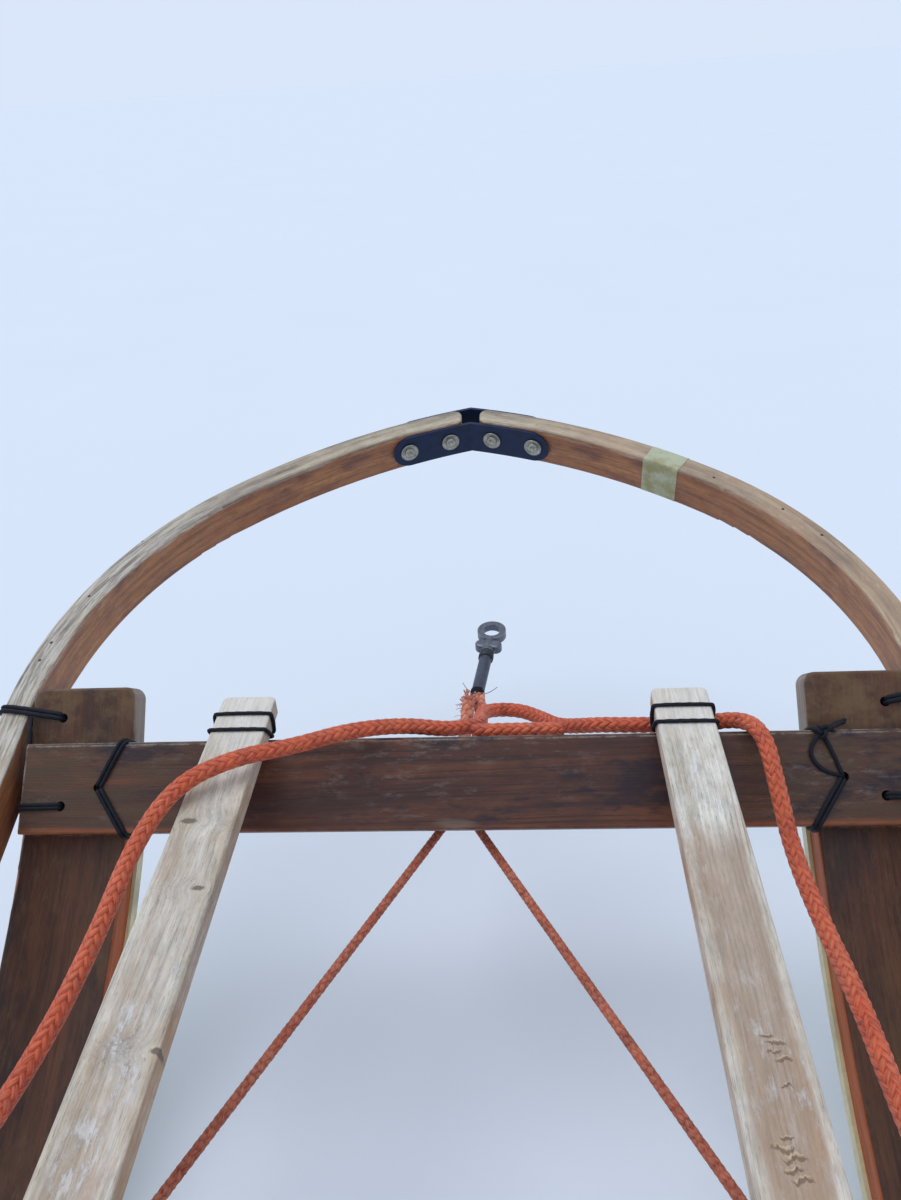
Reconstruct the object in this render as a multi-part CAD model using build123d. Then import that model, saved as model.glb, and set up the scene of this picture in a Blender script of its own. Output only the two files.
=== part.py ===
from build123d import *
from math import asin, atan, cos, degrees, pi, radians, sin, tan
import os

# Wooden dog sled, in millimetres. +Y points to the front, +X to the right, +Z up.
# While it is modelled, y = 0 is the upper edge of the front crosspiece and z = 0 is the ground.
# At the end the whole sled is moved along Y so that the origin is the middle of its footprint.

# Runners: bent planks with a plastic shoe below
runner_gauge = 574.0          # between the middles of the two runners
runner_width = 80.0
runner_thickness = 20.0
shoe_thickness = 10.0
runner_round = 2.5            # along its upper edges
shoe_lip = 2.5                # the shoe stands this far proud of the plank on each side
shoe_short = 6.5              # degrees, the shoe ends this far before the plank's tip
bend_radius = 610.0           # of the plank's upper face
tip_beyond_crosspiece = 44.0  # plank showing above the crosspiece, along its face
tip_corner = 9.0
tail_y = -2110.0
tail_corner = 20.0

# Front crosspiece, a board lying on the upturned runner tips
crosspiece_inset = 7.0        # inside the planks' outer edges
crosspiece_width = 65.0
crosspiece_thickness = 20.0
crosspiece_lean = 45.7        # degrees above the ground, along its face
crosspiece_bevel = 1.5        # depth of the land that the slats lie on
crosspiece_round = 2.0
lashing_hole = 7.0
tip_hole = (17.0, 54.0)       # from the crosspiece's end, and up its face from its middle
inner_hole = (57.0, 0.0)
end_hole = (30.0, -13.0)

# Bed slats
bed_rise = 3.0                # degrees, rising towards the front
slat_count = 6
slat_width = 40.0
slat_thickness = 15.0
slat_round = 2.5
slat_corner = 5.0
slat_side_gap = 2.75          # between the outer slats and the stanchions
slat_tip = 35.0               # the long slats reach this far beyond the crosspiece's edge
short_slat_overhang = 22.0
slat_rear_overhang = 45.0     # behind the middle of the rear bunk

# Stanchions and the bunks that join them
station_names = ("front", "middle", "rear")
station_y = (-585.0, -1040.0, -1490.0)
stanchion_offset = 13.0       # outboard of the runner's middle
stanchion_width = 28.0
stanchion_length = 45.0
stanchion_foot = 62.0         # length of the flared foot
stanchion_foot_height = 42.0
stanchion_head = 36.0         # length under the rail
stanchion_round = 3.0
bunk_width = 45.0
bunk_height = 32.0
tenon_height = 20.0
tenon_width = 30.0
bunk_arch = 9.0               # rise of the hollow in its underside
bunk_round = 3.0

# Side rails, lying on the stanchions
rail_width = 24.0
rail_height = 30.0
rail_front_z = 268.0          # underside over the front stanchion
rail_slope = 12.5             # degrees, rising towards the rear
rail_overhang = 70.0
rail_round = 4.0
rail_nose = 24.0              # radius of its front end, seen from the side

# Brush bow: two bent strips on edge, joined at the front by folded plates
bow_thickness = 22.0
bow_height = 38.0
bow_tilt = 13.0               # degrees above the bed, rising towards the front
bow_drop = 16.0               # its upper edge is this far below the slats' tops at the crosspiece
bow_side_gap = 4.0            # between the runner's outer edge and the strip
bow_shoulder_radius = 339.0   # outer face
bow_shoulder_y = 40.0         # where the strip runs straight back
bow_shoulder_turn = 50.2      # degrees turned by the shoulder
bow_kink = 15.0               # degrees, each half's slope where the halves meet
bow_end_gap = 9.0             # from the middle to the strip's rounded end
bow_leg_gap = 0.3             # between the strip and the front stanchion
bow_round = 2.5
bow_end_round = 8.0
plate_thickness = 3.0
plate_half_length = 77.0
plate_height = 33.0
bolt_spacing = (22.0, 63.0)   # from the middle
bolt_radius = 3.0
bolt_hole_radius = 3.2
washer_radius = 9.0
washer_thickness = 1.8
washer_rise = 0.1             # a flat washer bridges the hollow of the curved plate
washer_edge = 0.9             # bevel
bolt_head_radius = 5.0
bolt_head_height = 2.6
bolt_end = 8.0                # shank beyond the outer plate
nut_radius = 5.8              # over its corners
nut_height = 5.0

# Driving bow with the backrest
driving_gap = 75.0            # behind the rear stanchion
driving_lean = 14.0           # degrees, leaning to the rear
driving_height = 950.0        # top of the hand grip above the runner, along its legs
driving_width = 24.0
driving_depth = 28.0
driving_corner = 135.0        # outer radius
driving_round = 5.0
backrest_levels = (("lower", 270.0), ("upper", 545.0))
backrest_rail_height = 40.0
backrest_rail_depth = 20.0
backrest_rail_round = 4.0
backrest_slat_x = (("left", -150.0), ("middle", 0.0), ("right", 150.0))
backrest_slat_width = 60.0
backrest_slat_thickness = 9.0
backrest_slat_corner = 14.0
backrest_slat_foot = 190.0
backrest_slat_top = 610.0

# Tail crossbar, claw brake and footboards
tail_bar_gap = 85.0           # behind the driving bow's feet
tail_bar_width = 60.0
tail_bar_height = 25.0
tail_bar_round = 4.0
pivot_gap = 25.0              # behind the crossbar
pivot_rise = 11.0             # above the crossbar
pivot_radius = 6.0
pivot_collar = 4.0            # radius of the shaft's collars beyond the shaft's own
pivot_collar_length = 5.0
side_clearance = 0.3
running_clearance = 0.06
bracket_x = 100.0             # inner face of each bracket's ear
bracket_thickness = 5.0
bracket_radius = 15.0
bracket_slope = 14.0          # bevel of the ear's upper front corner
bracket_foot = (40.0, 50.0, 4.0)
arm_x = 70.0                  # inner face of each brake arm
arm_thickness = 8.0
arm_height = 30.0
arm_length = 300.0
claw_bar_size = 24.0
claw_x = 62.0
claw_thickness = 12.0
claw_root = 11.0              # half its length where it leaves the bar
claw_hook = 4.0               # its point is this far in front of its root
claw_clearance = 22.0         # between the claws' tips and the ground, brake up
tread_length = 95.0
tread_thickness = 4.0
tread_overhang = 8.0          # beyond the arms, on each side
tread_rear = 17.0             # its rear edge is this far in front of the bar's middle
tread_corner = 8.0
tread_rib = (10.0, 4.0, 3.0)  # space at its ends, width and height
tread_ribs = 5
tread_rib_pitch = 17.0
spring_wire = 4.0
spring_turns = 4
spring_room = 1.0             # between the coil and the shaft
spring_bite = 0.4             # how far each turn runs into the next
foot_pad_gap = 25.0           # behind the pivot
foot_pad_margin = 50.0        # from the plank's end
foot_pad_width = 66.0
foot_pad_thickness = 4.0
foot_pad_corner = 8.0
foot_pad_rib = (6.0, 6.0, 3.0)  # space at its ends, width and height
foot_pad_ribs = 15
foot_pad_end = 15.0           # from the pad's end to the middle of the first rib

# Ropes and the tow link
side_rope_radius = 6.0
bridle_radius = 3.3
tow_loop_radius = 5.0
tow_loop_half = 8.0           # from the loop's middle to its strands' middles
tow_loop_short = 10.0         # its ends lie this much nearer together than the points it joins
sleeve_radius = 5.5
eye_radius = 8.0
eye_ring = 5.0
eye_thickness = 7.0
eye_sunk = 1.5                # how far the eye's ring runs into the barrel
collar_radius = 6.2
collar_length = 5.0
collar_gap = 0.3
lug_radius = 5.6              # the two lugs beside the swivel's barrel
lug_thickness = 9.0
lug_round = 2.2
lug_spread = 6.4
lug_rise = 9.5
barrel_radius = 4.6
barrel_length = 13.0
sleeve_reach = 8.0
sleeve_round = 1.5

# Worked out from the sizes above
crosspiece_length = runner_gauge + runner_width - 2 * crosspiece_inset
stanchion_spacing = runner_gauge + 2 * stanchion_offset
stanchion_inside = stanchion_spacing - stanchion_width
driving_spacing = stanchion_spacing
slat_pitch = (stanchion_inside - 2 * slat_side_gap - slat_width) / (slat_count - 1)
bed_rear_y = station_y[2] - slat_rear_overhang
driving_y = station_y[2] - driving_gap
tail_bar_y = driving_y - tail_bar_gap
pivot_y = tail_bar_y - tail_bar_width / 2 - pivot_gap
foot_pad_front = pivot_y - foot_pad_gap
foot_pad_length = foot_pad_front - tail_y - foot_pad_margin
runner_x = runner_gauge / 2
runner_top = shoe_thickness + runner_thickness
pivot_z = runner_top + tail_bar_height + pivot_rise
lean = radians(crosspiece_lean)
rise = radians(bed_rise)
# The middle of the crosspiece's underside touches the plank where the plank's slope is its lean.
contact_z = runner_top + bend_radius * (1 - cos(lean))
# From there to the crosspiece's upper edge, and to the bed's own origin above that edge
edge_y = -crosspiece_thickness * sin(lean) + crosspiece_width / 2 * cos(lean)
edge_z = crosspiece_thickness * cos(lean) + crosspiece_width / 2 * sin(lean)
edge_to_bed = slat_thickness - crosspiece_bevel
contact_y = edge_to_bed * sin(rise) - edge_y
bed_z = contact_z + edge_z + edge_to_bed * cos(rise)
bend_y = contact_y - bend_radius * sin(lean)
tip_angle = crosspiece_lean + degrees((crosspiece_width / 2 + tip_beyond_crosspiece) / bend_radius)

# The bed's own frame: y = 0 over the crosspiece's edge, z = 0 on the slats' upper faces
bed = Location((0, 0, bed_z), (bed_rise, 0, 0))
crosspiece_place = Location((0, contact_y, contact_z), (crosspiece_lean, 0, 0))
bow_place = bed * Location((0, 0, -bow_drop), (bow_tilt, 0, 0))
# Across the driving bow: x to the right, y up along its legs, z to the rear
driving_place = Location((0, driving_y, runner_top), (90 + driving_lean, 0, 0))


def block(x, y, z):
    # A box between two corners on each axis
    size = (x[1] - x[0], y[1] - y[0], z[1] - z[0])
    return Pos((x[0] + x[1]) / 2, (y[0] + y[1]) / 2, (z[0] + z[1]) / 2) * Box(*size)


def rounded_bar(length_x, length_y, length_z, axis, radius):
    # A box about its own middle, with the edges along one axis rounded
    bar = Box(length_x, length_y, length_z)
    return fillet(bar.edges().filter_by(axis), radius)


def bent_plank(drop, thickness, width, tip, tail):
    # A plank that is flat to the bend and then follows it up to the tip's angle
    middle = (bend_y, runner_top + bend_radius)
    upper = bend_radius + drop
    lower = upper + thickness
    top_z = runner_top - drop
    upper_arc = CenterArc(middle, upper, -90, tip)
    lower_arc = CenterArc(middle, lower, -90, tip)
    outline = [
        Line((tail, top_z), (bend_y, top_z)),
        upper_arc,
        Line(upper_arc @ 1, lower_arc @ 1),
        lower_arc,
        Line((bend_y, top_z - thickness), (tail, top_z - thickness)),
        Line((tail, top_z - thickness), (tail, top_z)),
    ]
    return extrude(Plane.YZ * make_face(outline), width / 2, both=True)


def make_runner(side):
    plank = bent_plank(0, runner_thickness, runner_width, tip_angle, tail_y)
    tip_edges = plank.edges().filter_by(lambda e: abs(e.length - runner_thickness) < 0.01)
    plank = fillet(tip_edges.sort_by(Axis.Y)[-2:], tip_corner)
    tail_edges = plank.edges().filter_by(Axis.Z).sort_by(Axis.Y)[:2]
    plank = chamfer(tail_edges, tail_corner)
    long_edges = plank.edges().filter_by(lambda e: e.length > bend_radius / 2)
    plank = fillet(long_edges.filter_by(on_upper_face), runner_round)
    plank = Pos(side * runner_x, 0, 0) * plank
    # The land for the crosspiece, and the holes for the lashings
    land = crosspiece_place * Pos(0, 0, crosspiece_thickness / 2) * Box(
        crosspiece_length, crosspiece_width, crosspiece_thickness
    )
    return plank - land - lashing_hole_at(side, tip_hole) - lashing_hole_at(side, inner_hole)


def on_upper_face(edge):
    # True for an edge of the plank's upper face, flat or bent
    point = edge @ 0.5
    if point.Y < bend_y:
        return abs(point.Z - runner_top) < 0.01
    reach = ((point.Y - bend_y) ** 2 + (point.Z - runner_top - bend_radius) ** 2) ** 0.5
    return abs(reach - bend_radius) < 0.01


def lashing_hole_at(side, hole):
    x = side * (crosspiece_length / 2 - hole[0])
    return crosspiece_place * Pos(x, hole[1], 0) * Cylinder(lashing_hole / 2, 4 * crosspiece_thickness)


def make_shoe(side):
    width = runner_width + 2 * shoe_lip
    sole = bent_plank(runner_thickness, shoe_thickness, width, tip_angle - shoe_short, tail_y + tail_corner)
    return Pos(side * runner_x, 0, 0) * sole


def make_crosspiece():
    board = rounded_bar(crosspiece_length, crosspiece_width, crosspiece_thickness, Axis.X, crosspiece_round)
    board = crosspiece_place * Pos(0, 0, crosspiece_thickness / 2) * board
    for side in (-1, 1):
        board -= lashing_hole_at(side, inner_hole)
        board -= lashing_hole_at(side, end_hole)
    half = crosspiece_length
    above_land = bed * block((-half, half), (-40, 40), (-slat_thickness, 40))
    return board - above_land


def make_slat(x, front):
    rear = bed_rear_y / cos(rise)
    length = front - rear
    slat = Box(slat_width, length, slat_thickness)
    slat = fillet(slat.edges().filter_by(Axis.Z).sort_by(Axis.Y)[-2:], slat_corner)
    slat = fillet(slat.edges().filter_by(Axis.Y), slat_round)
    return bed * Pos(x, (front + rear) / 2, -slat_thickness / 2) * slat


def bunk_place(y):
    return bed * Pos(0, y / cos(rise), -slat_thickness - bunk_height / 2)


def make_bunk(y):
    bar = Box(stanchion_inside, bunk_width, bunk_height)
    foot = stanchion_inside / 2 - bunk_width
    low = -bunk_height / 2
    arch = make_face([
        ThreePointArc((-foot, low), (0, low + bunk_arch), (foot, low)),
        Line((foot, low), (-foot, low)),
    ])
    bar -= extrude(Plane.XZ * arch, bunk_width, both=True)
    bar = fillet(bar.edges().filter_by(Axis.X).group_by(Axis.Z)[-1], bunk_round)
    return bunk_place(y) * (bar + Box(stanchion_spacing + stanchion_width, tenon_width, tenon_height))


def rail_plane_z(y):
    # Height of the side rail's underside
    return rail_front_z + (station_y[0] - y) * tan(radians(rail_slope))


def make_stanchion(side, y):
    # A post with a flared foot, tapering from the bunk to the rail
    foot = stanchion_foot / 2
    half = stanchion_length / 2
    head = stanchion_head / 2
    knee = runner_top + stanchion_foot_height
    shoulder = bed_z + y * sin(rise)
    top = rail_plane_z(y) + stanchion_length
    right_side = [(foot, runner_top), (half, knee), (half, shoulder), (head, top)]
    left_side = [(-a, b) for a, b in reversed(right_side)]
    outline = make_face(Polyline(*right_side, *left_side, close=True))
    post = extrude(Plane.YZ * outline, stanchion_width / 2, both=True)
    corners = post.edges().filter_by(Axis.X, reverse=True)
    corners = corners.filter_by(lambda e: abs((e @ 0.5).Y) > 1)
    post = Pos(side * stanchion_spacing / 2, y, 0) * fillet(corners, stanchion_round)
    above_rail = Location((0, y, rail_plane_z(y)), (-rail_slope, 0, 0)) * Pos(0, 0, 600) * Box(
        4 * stanchion_spacing, 1600, 1200
    )
    mortise = bunk_place(y) * Box(2 * stanchion_spacing, tenon_width, tenon_height)
    return post - above_rail - mortise


def make_side_rail(side):
    slope = radians(rail_slope)
    front = rail_overhang
    rear = (station_y[0] - driving_y + 300) / cos(slope)
    bar = Box(rail_width, front + rear, rail_height)
    bar = fillet(bar.edges().filter_by(Axis.X).group_by(Axis.Y)[-1].sort_by(Axis.Z)[-1], rail_nose)
    bar = fillet(bar.edges().filter_by(Axis.Y), rail_round)
    bar = Pos(0, (front - rear) / 2, rail_height / 2) * bar
    place = Location((side * stanchion_spacing / 2, station_y[0], rail_front_z), (-rail_slope, 0, 0))
    behind = driving_place * block((-500, 500), (-500, 1500), (-driving_depth / 2, 600))
    return place * bar - behind


# The brush bow, drawn in its own tilted plane
bow_leg_x = runner_gauge / 2 + runner_width / 2 + bow_side_gap + bow_thickness
shoulder_start = 90 - bow_shoulder_turn
sweep_radius = (bow_leg_x - bow_shoulder_radius * (1 - sin(radians(shoulder_start)))) / (
    sin(radians(shoulder_start)) - sin(radians(bow_kink))
)
bow_apex_y = (
    bow_shoulder_y
    + bow_shoulder_radius * cos(radians(shoulder_start))
    + sweep_radius * (cos(radians(bow_kink)) - cos(radians(shoulder_start)))
)
sweep_middle = (-sweep_radius * sin(radians(bow_kink)), bow_apex_y - sweep_radius * cos(radians(bow_kink)))
shoulder_middle = (bow_leg_x - bow_shoulder_radius, bow_shoulder_y)
leg_end_x = stanchion_spacing / 2 + stanchion_width / 2 + bow_leg_gap + bow_thickness
leg_end_y = (station_y[0] - stanchion_length / 2) / cos(radians(bow_tilt + bed_rise))
leg_turn = degrees(atan((bow_leg_x - leg_end_x) / (bow_shoulder_y - leg_end_y)))


def bow_edge(inset):
    # The right half's outline at a distance inside its outer face, from the middle to the leg's end
    # The sweep begins a little before the middle, and each piece is cut there to its own end.
    lead = 2.0
    sweep_part = CenterArc(
        sweep_middle, sweep_radius - inset, 90 - bow_kink + lead, bow_kink - shoulder_start - lead
    )
    shoulder = CenterArc(
        shoulder_middle, bow_shoulder_radius - inset, bow_shoulder_turn, -bow_shoulder_turn - leg_turn
    )
    leg_foot = (leg_end_x - inset, leg_end_y)
    return [sweep_part, shoulder, Line(shoulder @ 1, leg_foot)]


def bow_band(near, far):
    # The face between two insets
    outer = bow_edge(near)
    inner = bow_edge(far)
    ends = [Line(outer[0] @ 0, inner[0] @ 0), Line(outer[2] @ 1, inner[2] @ 1)]
    return make_face(outer + inner + ends)


def sweep_angle(distance):
    # Slope of the front sweep at a distance from the middle
    return degrees(asin((distance - sweep_middle[0]) / (sweep_radius - bow_thickness)))


def bolt_axes():
    # Places on the strip's inner face, their z pointing into the sled along the bolt
    places = []
    for side in (-1, 1):
        for distance in bolt_spacing:
            slope = radians(sweep_angle(distance))
            reach = sweep_radius - bow_thickness
            x = side * (sweep_middle[0] + reach * sin(slope))
            y = sweep_middle[1] + reach * cos(slope)
            spot = Location((x, y, -bow_height / 2), (90, 0, 0))
            places.append(spot * Rot(0, -side * degrees(slope), 0))
    return places


def bolt_holes():
    drill = Pos(0, 0, -bow_thickness / 2) * Cylinder(bolt_hole_radius, bow_thickness + 6 * plate_thickness)
    holes = [place * drill for place in bolt_axes()]
    return holes[0] + holes[1] + holes[2] + holes[3]


def make_bow_half(side):
    strip = extrude(bow_band(0, bow_thickness), -bow_height)
    # The front end is rounded, seen from above
    strip -= block((-200, bow_end_gap), (bow_apex_y - 150, bow_apex_y + 50), (-bow_height, 0))
    end_edges = strip.edges().filter_by(Axis.Z).group_by(Axis.X)[0]
    strip = fillet(end_edges, bow_end_round)
    for level in (0, -1):
        rim = strip.faces().sort_by(Axis.Z)[level].edges()
        strip = fillet(rim.sort_by(Axis.Y)[1:], bow_round)
    if side < 0:
        strip = mirror(strip, Plane.YZ)
    strip -= bolt_holes()
    strip = bow_place * strip
    post = Pos(side * stanchion_spacing / 2, station_y[0], 0) * Box(
        stanchion_width + 2 * bow_leg_gap, stanchion_length, 4 * rail_front_z
    )
    return strip - post


def make_bow_plate(near, far):
    # Both halves of a folded plate lying on the strip, its ends rounded
    half = extrude(bow_band(near, far), -plate_height)
    half = half & block((0, 200), (0, 600), (-plate_height, 0))
    plate = half + mirror(half, Plane.YZ)
    window = SlotOverall(2 * plate_half_length, plate_height)
    window = extrude(Plane.XZ * Pos(0, -plate_height / 2) * window, 800, both=True)
    plate = Pos(0, 0, -(bow_height - plate_height) / 2) * (plate & window)
    return bow_place * (plate - bolt_holes())


def make_bow_bolts():
    grip = bow_thickness + 2 * plate_thickness
    bolts = []
    for place in bolt_axes():
        shank = Pos(0, 0, plate_thickness - grip / 2) * Cylinder(bolt_radius, grip + bolt_end)
        washer = Cylinder(washer_radius, washer_thickness)
        washer = chamfer(washer.edges().sort_by(Axis.Z)[-1], washer_edge)
        seat = plate_thickness + washer_rise
        washer = Pos(0, 0, seat + washer_thickness / 2) * washer
        head = Pos(0, 0, seat + washer_thickness + bolt_head_height / 2) * Cylinder(
            bolt_head_radius, bolt_head_height
        )
        back = -bow_thickness - plate_thickness
        nut = Pos(0, 0, back) * extrude(RegularPolygon(nut_radius, 6), -nut_height)
        bolts.append(bow_place * place * (shank + washer + head + nut))
    return Compound(bolts)


def make_driving_bow():
    # An inverted U bent in one plane, standing on the runners
    half = driving_spacing / 2
    below = 60.0
    faces = []
    for grow in (driving_width / 2, -driving_width / 2):
        top = driving_height - driving_width / 2 + grow
        outline = Pos(0, (top - below) / 2) * Rectangle(2 * (half + grow), top + below)
        corners = outline.vertices().group_by(Axis.Y)[-1]
        faces.append(fillet(corners, driving_corner - driving_width / 2 + grow))
    band = faces[0] - faces[1]
    bow = extrude(band, driving_depth / 2, both=True)
    rims = bow.edges().filter_by(Axis.Z, reverse=True).filter_by(lambda e: (e @ 0.5).Y > -below / 2)
    bow = driving_place * fillet(rims, driving_round)
    wide = 2 * driving_spacing
    return bow - block((-wide, wide), (driving_y - 500, driving_y + 500), (-200, runner_top))


def make_backrest_rail(level):
    inside = driving_spacing - driving_width
    rail = rounded_bar(inside, backrest_rail_height, backrest_rail_depth, Axis.X, backrest_rail_round)
    return driving_place * Pos(0, level, 0) * rail


def make_backrest_slat(x):
    length = backrest_slat_top - backrest_slat_foot
    slat = rounded_bar(
        backrest_slat_width, length, backrest_slat_thickness, Axis.Z, backrest_slat_corner
    )
    middle = (backrest_slat_top + backrest_slat_foot) / 2
    depth = -backrest_rail_depth / 2 - backrest_slat_thickness / 2
    return driving_place * Pos(x, middle, depth) * slat


def make_tail_bar():
    bar = rounded_bar(runner_gauge + runner_width, tail_bar_width, tail_bar_height, Axis.X, tail_bar_round)
    return Pos(0, tail_bar_y, runner_top + tail_bar_height / 2) * bar


def make_brake_brackets():
    # Each an angle: a foot on the crossbar and an upright ear round the pivot
    foot_top = runner_top + tail_bar_height
    ears = []
    for side in (-1, 1):
        near = side * bracket_x
        far = side * (bracket_x + bracket_thickness)
        x = (min(near, far), max(near, far))
        disc = Pos(sum(x) / 2, pivot_y, pivot_z) * Rot(0, 90, 0) * Cylinder(
            bracket_radius, bracket_thickness
        )
        web = block(x, (pivot_y, tail_bar_y), (foot_top, pivot_z + bracket_radius))
        web = chamfer(web.edges().filter_by(Axis.X).group_by(Axis.Y)[-1].sort_by(Axis.Z)[-1], bracket_slope)
        foot_far = side * (bracket_x + bracket_foot[0])
        foot_x = (min(near, foot_far), max(near, foot_far))
        foot_half = bracket_foot[1] / 2
        foot_y = (tail_bar_y - foot_half, tail_bar_y + foot_half)
        foot = block(foot_x, foot_y, (foot_top, foot_top + bracket_foot[2]))
        hole = Pos(sum(x) / 2, pivot_y, pivot_z) * Rot(0, 90, 0) * Cylinder(
            pivot_radius + running_clearance, 4 * bracket_thickness
        )
        ears.append(disc + web + foot - hole)
    return Compound(ears)


def make_brake_pivot():
    reach = bracket_x + bracket_thickness
    collar_x = reach + side_clearance + pivot_collar_length / 2
    shaft = Cylinder(pivot_radius, 2 * collar_x)
    for side in (-1, 1):
        shaft += Pos(0, 0, side * collar_x) * Cylinder(pivot_radius + pivot_collar, pivot_collar_length)
    return Pos(0, pivot_y, pivot_z) * Rot(0, 90, 0) * shaft


def make_brake_frame():
    # Two arms, the bar that joins them and a hooked claw below each
    rear = pivot_y - arm_length
    frame = block(
        (-arm_x - arm_thickness, arm_x + arm_thickness),
        (rear - claw_bar_size / 2, rear + claw_bar_size / 2),
        (pivot_z - claw_bar_size / 2, pivot_z + claw_bar_size / 2),
    )
    for side in (-1, 1):
        near = side * arm_x
        far = side * (arm_x + arm_thickness)
        x = (min(near, far), max(near, far))
        arm = block(x, (rear, pivot_y), (pivot_z - arm_height / 2, pivot_z + arm_height / 2))
        eye = Pos(sum(x) / 2, pivot_y, pivot_z) * Rot(0, 90, 0) * Cylinder(arm_height / 2, arm_thickness)
        frame += arm + eye
        frame += Pos(side * claw_x, 0, 0) * make_claw(rear)
    bore = Pos(0, pivot_y, pivot_z) * Rot(0, 90, 0) * Cylinder(
        pivot_radius + running_clearance, 4 * arm_x
    )
    return frame - bore


def make_claw(y):
    # A tine that curves forward to its point
    top = pivot_z
    half_way = (top + claw_clearance) / 2
    rear = y - claw_root
    front = y + claw_root
    point = (front + claw_hook, claw_clearance)
    back_edge = ThreePointArc((rear, top), (rear + 3, half_way - 2), point)
    front_edge = ThreePointArc(point, (front - 1, half_way), (front, top))
    outline = make_face([back_edge, front_edge, Line((front, top), (rear, top))])
    return extrude(Plane.YZ * outline, claw_thickness / 2, both=True)


def make_brake_tread():
    # A foot plate with raised grip bars across it
    rear = pivot_y - arm_length + tread_rear
    low = pivot_z + arm_height / 2
    top = low + tread_thickness
    half = arm_x + arm_thickness + tread_overhang
    plate = block((-half, half), (rear, rear + tread_length), (low, top))
    plate = fillet(plate.edges().filter_by(Axis.Z), tread_corner)
    end_space, rib_width, rib_height = tread_rib
    first = rear + (tread_length - tread_rib_pitch * (tread_ribs - 1) - rib_width) / 2
    for step in range(tread_ribs):
        y = first + step * tread_rib_pitch
        plate += block((end_space - half, half - end_space), (y, y + rib_width), (top, top + rib_height))
    return plate


def make_brake_springs():
    # Close wound coils round the pivot, beside each arm
    middle = pivot_radius + spring_room + spring_wire / 2
    first = arm_x + arm_thickness + side_clearance + spring_wire / 2
    coils = []
    for side in (-1, 1):
        coil = None
        for turn in range(spring_turns):
            x = first + turn * (spring_wire - spring_bite)
            ring = Pos(side * x, pivot_y, pivot_z) * Rot(0, 90, 0) * Torus(middle, spring_wire / 2)
            coil = ring if coil is None else coil + ring
        coils.append(coil)
    return Compound(coils)


def make_foot_pad(side):
    low = runner_top
    top = low + foot_pad_thickness
    rear = foot_pad_front - foot_pad_length
    half = foot_pad_width / 2
    pad = block((-half, half), (rear, foot_pad_front), (low, top))
    pad = fillet(pad.edges().filter_by(Axis.Z), foot_pad_corner)
    end_space, rib_width, rib_height = foot_pad_rib
    pitch = (foot_pad_length - 2 * foot_pad_end) / (foot_pad_ribs - 1)
    for step in range(foot_pad_ribs):
        y = rear + foot_pad_end + step * pitch - rib_width / 2
        pad += block((end_space - half, half - end_space), (y, y + rib_width), (top, top + rib_height))
    return Pos(side * runner_x, 0, 0) * pad


# Ropes: points in the bed's frame, joined by arcs as large as their runs allow
# The side rope's x values are for slats at this pitch, and spread with them.
route_pitch = 105.3
side_rope_points = (
    (-300, -562.6, -30), (-297, -490, -40), (-276, -400, -48), (-246, -310, -48),
    (-222, -230, -40), (-210, -160, -26), (-202, -108, -8), (-180, -74, 12),
    (-146, -52, 15), (-112, -34, 8), (-76, -10, 2), (-40, 12, -12),
    (-8, 20, -24), (17, 46, -38), (16, 66, -47), (17, 86, -56),
    (33, 89, -59), (47, 73, -56), (64, 52, -47), (82, 39, -38),
    (102, 30, -30), (124, 24, -26), (148, 22, -24.5), (172, 21.5, -24.5),
    (198.5, 13, -12.5), (207.5, -15.5, -1),
    (211, -46, -19), (216, -80, -46), (223, -124, -58), (228, -184, -54),
    (227, -260, -46), (234, -340, -44), (256, -420, -46), (284, -490, -40),
    (300, -562.6, -30),
)
bridle_anchor_z = -60.0
bridle_shoulder = (14.0, 22.0)  # from its foremost point, beside it and behind it
bridle_radii = (10.0, 9.0, 10.0)
tow_points = ((0, -12, -82), (6, 118, -70), (13, 168, -66))


def corner_radii(points):
    vectors = [Vector(*point) for point in points]
    radii = []
    for before, corner, after in zip(vectors, vectors[1:], vectors[2:]):
        first = corner - before
        second = after - corner
        turn = radians(first.get_angle(second))
        radii.append(0.45 * min(first.length, second.length) / tan(turn / 2))
    return radii


def rope_tube(points, radius, name):
    radii = corner_radii(points)
    print(name, "radii", [round(r, 1) for r in radii])
    path = FilletPolyline(*points, radius=radii)
    section = Plane(origin=path @ 0, z_dir=path % 0) * Circle(radius)
    tube = sweep(section, path=path)
    print(name, "length", round(path.length, 1), "volume ratio",
          round(tube.volume / (path.length * pi * radius * radius), 4))
    return tube


def make_side_rope():
    spread = slat_pitch / route_pitch
    points = [(x * spread, y, z) for x, y, z in side_rope_points]
    return bed * rope_tube(points, side_rope_radius, "side_rope")


def make_bridle():
    # A taut V from the front stanchions to the tow loop below the crosspiece
    x = stanchion_inside / 2 + 4
    y = station_y[0]
    apex = tow_points[0]
    beside, behind = bridle_shoulder
    points = [
        (-x, y, bridle_anchor_z),
        (apex[0] - beside, apex[1] - behind, apex[2]),
        apex,
        (apex[0] + beside, apex[1] - behind, apex[2]),
        (x, y, bridle_anchor_z),
    ]
    path = FilletPolyline(*points, radius=list(bridle_radii))
    section = Plane(origin=path @ 0, z_dir=path % 0) * Circle(bridle_radius)
    rope = bed * sweep(section, path=path)
    # Cut to lie flat against the stanchions
    half = stanchion_inside / 2
    return rope & block((-half, half), (-1000, 200), (0, 1000))


def link_place(start, end):
    # A frame whose z runs from one point to the other
    a = Vector(*start)
    b = Vector(*end)
    return Plane(origin=a, z_dir=b - a, x_dir=(1, 0, 0)), (b - a).length


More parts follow.
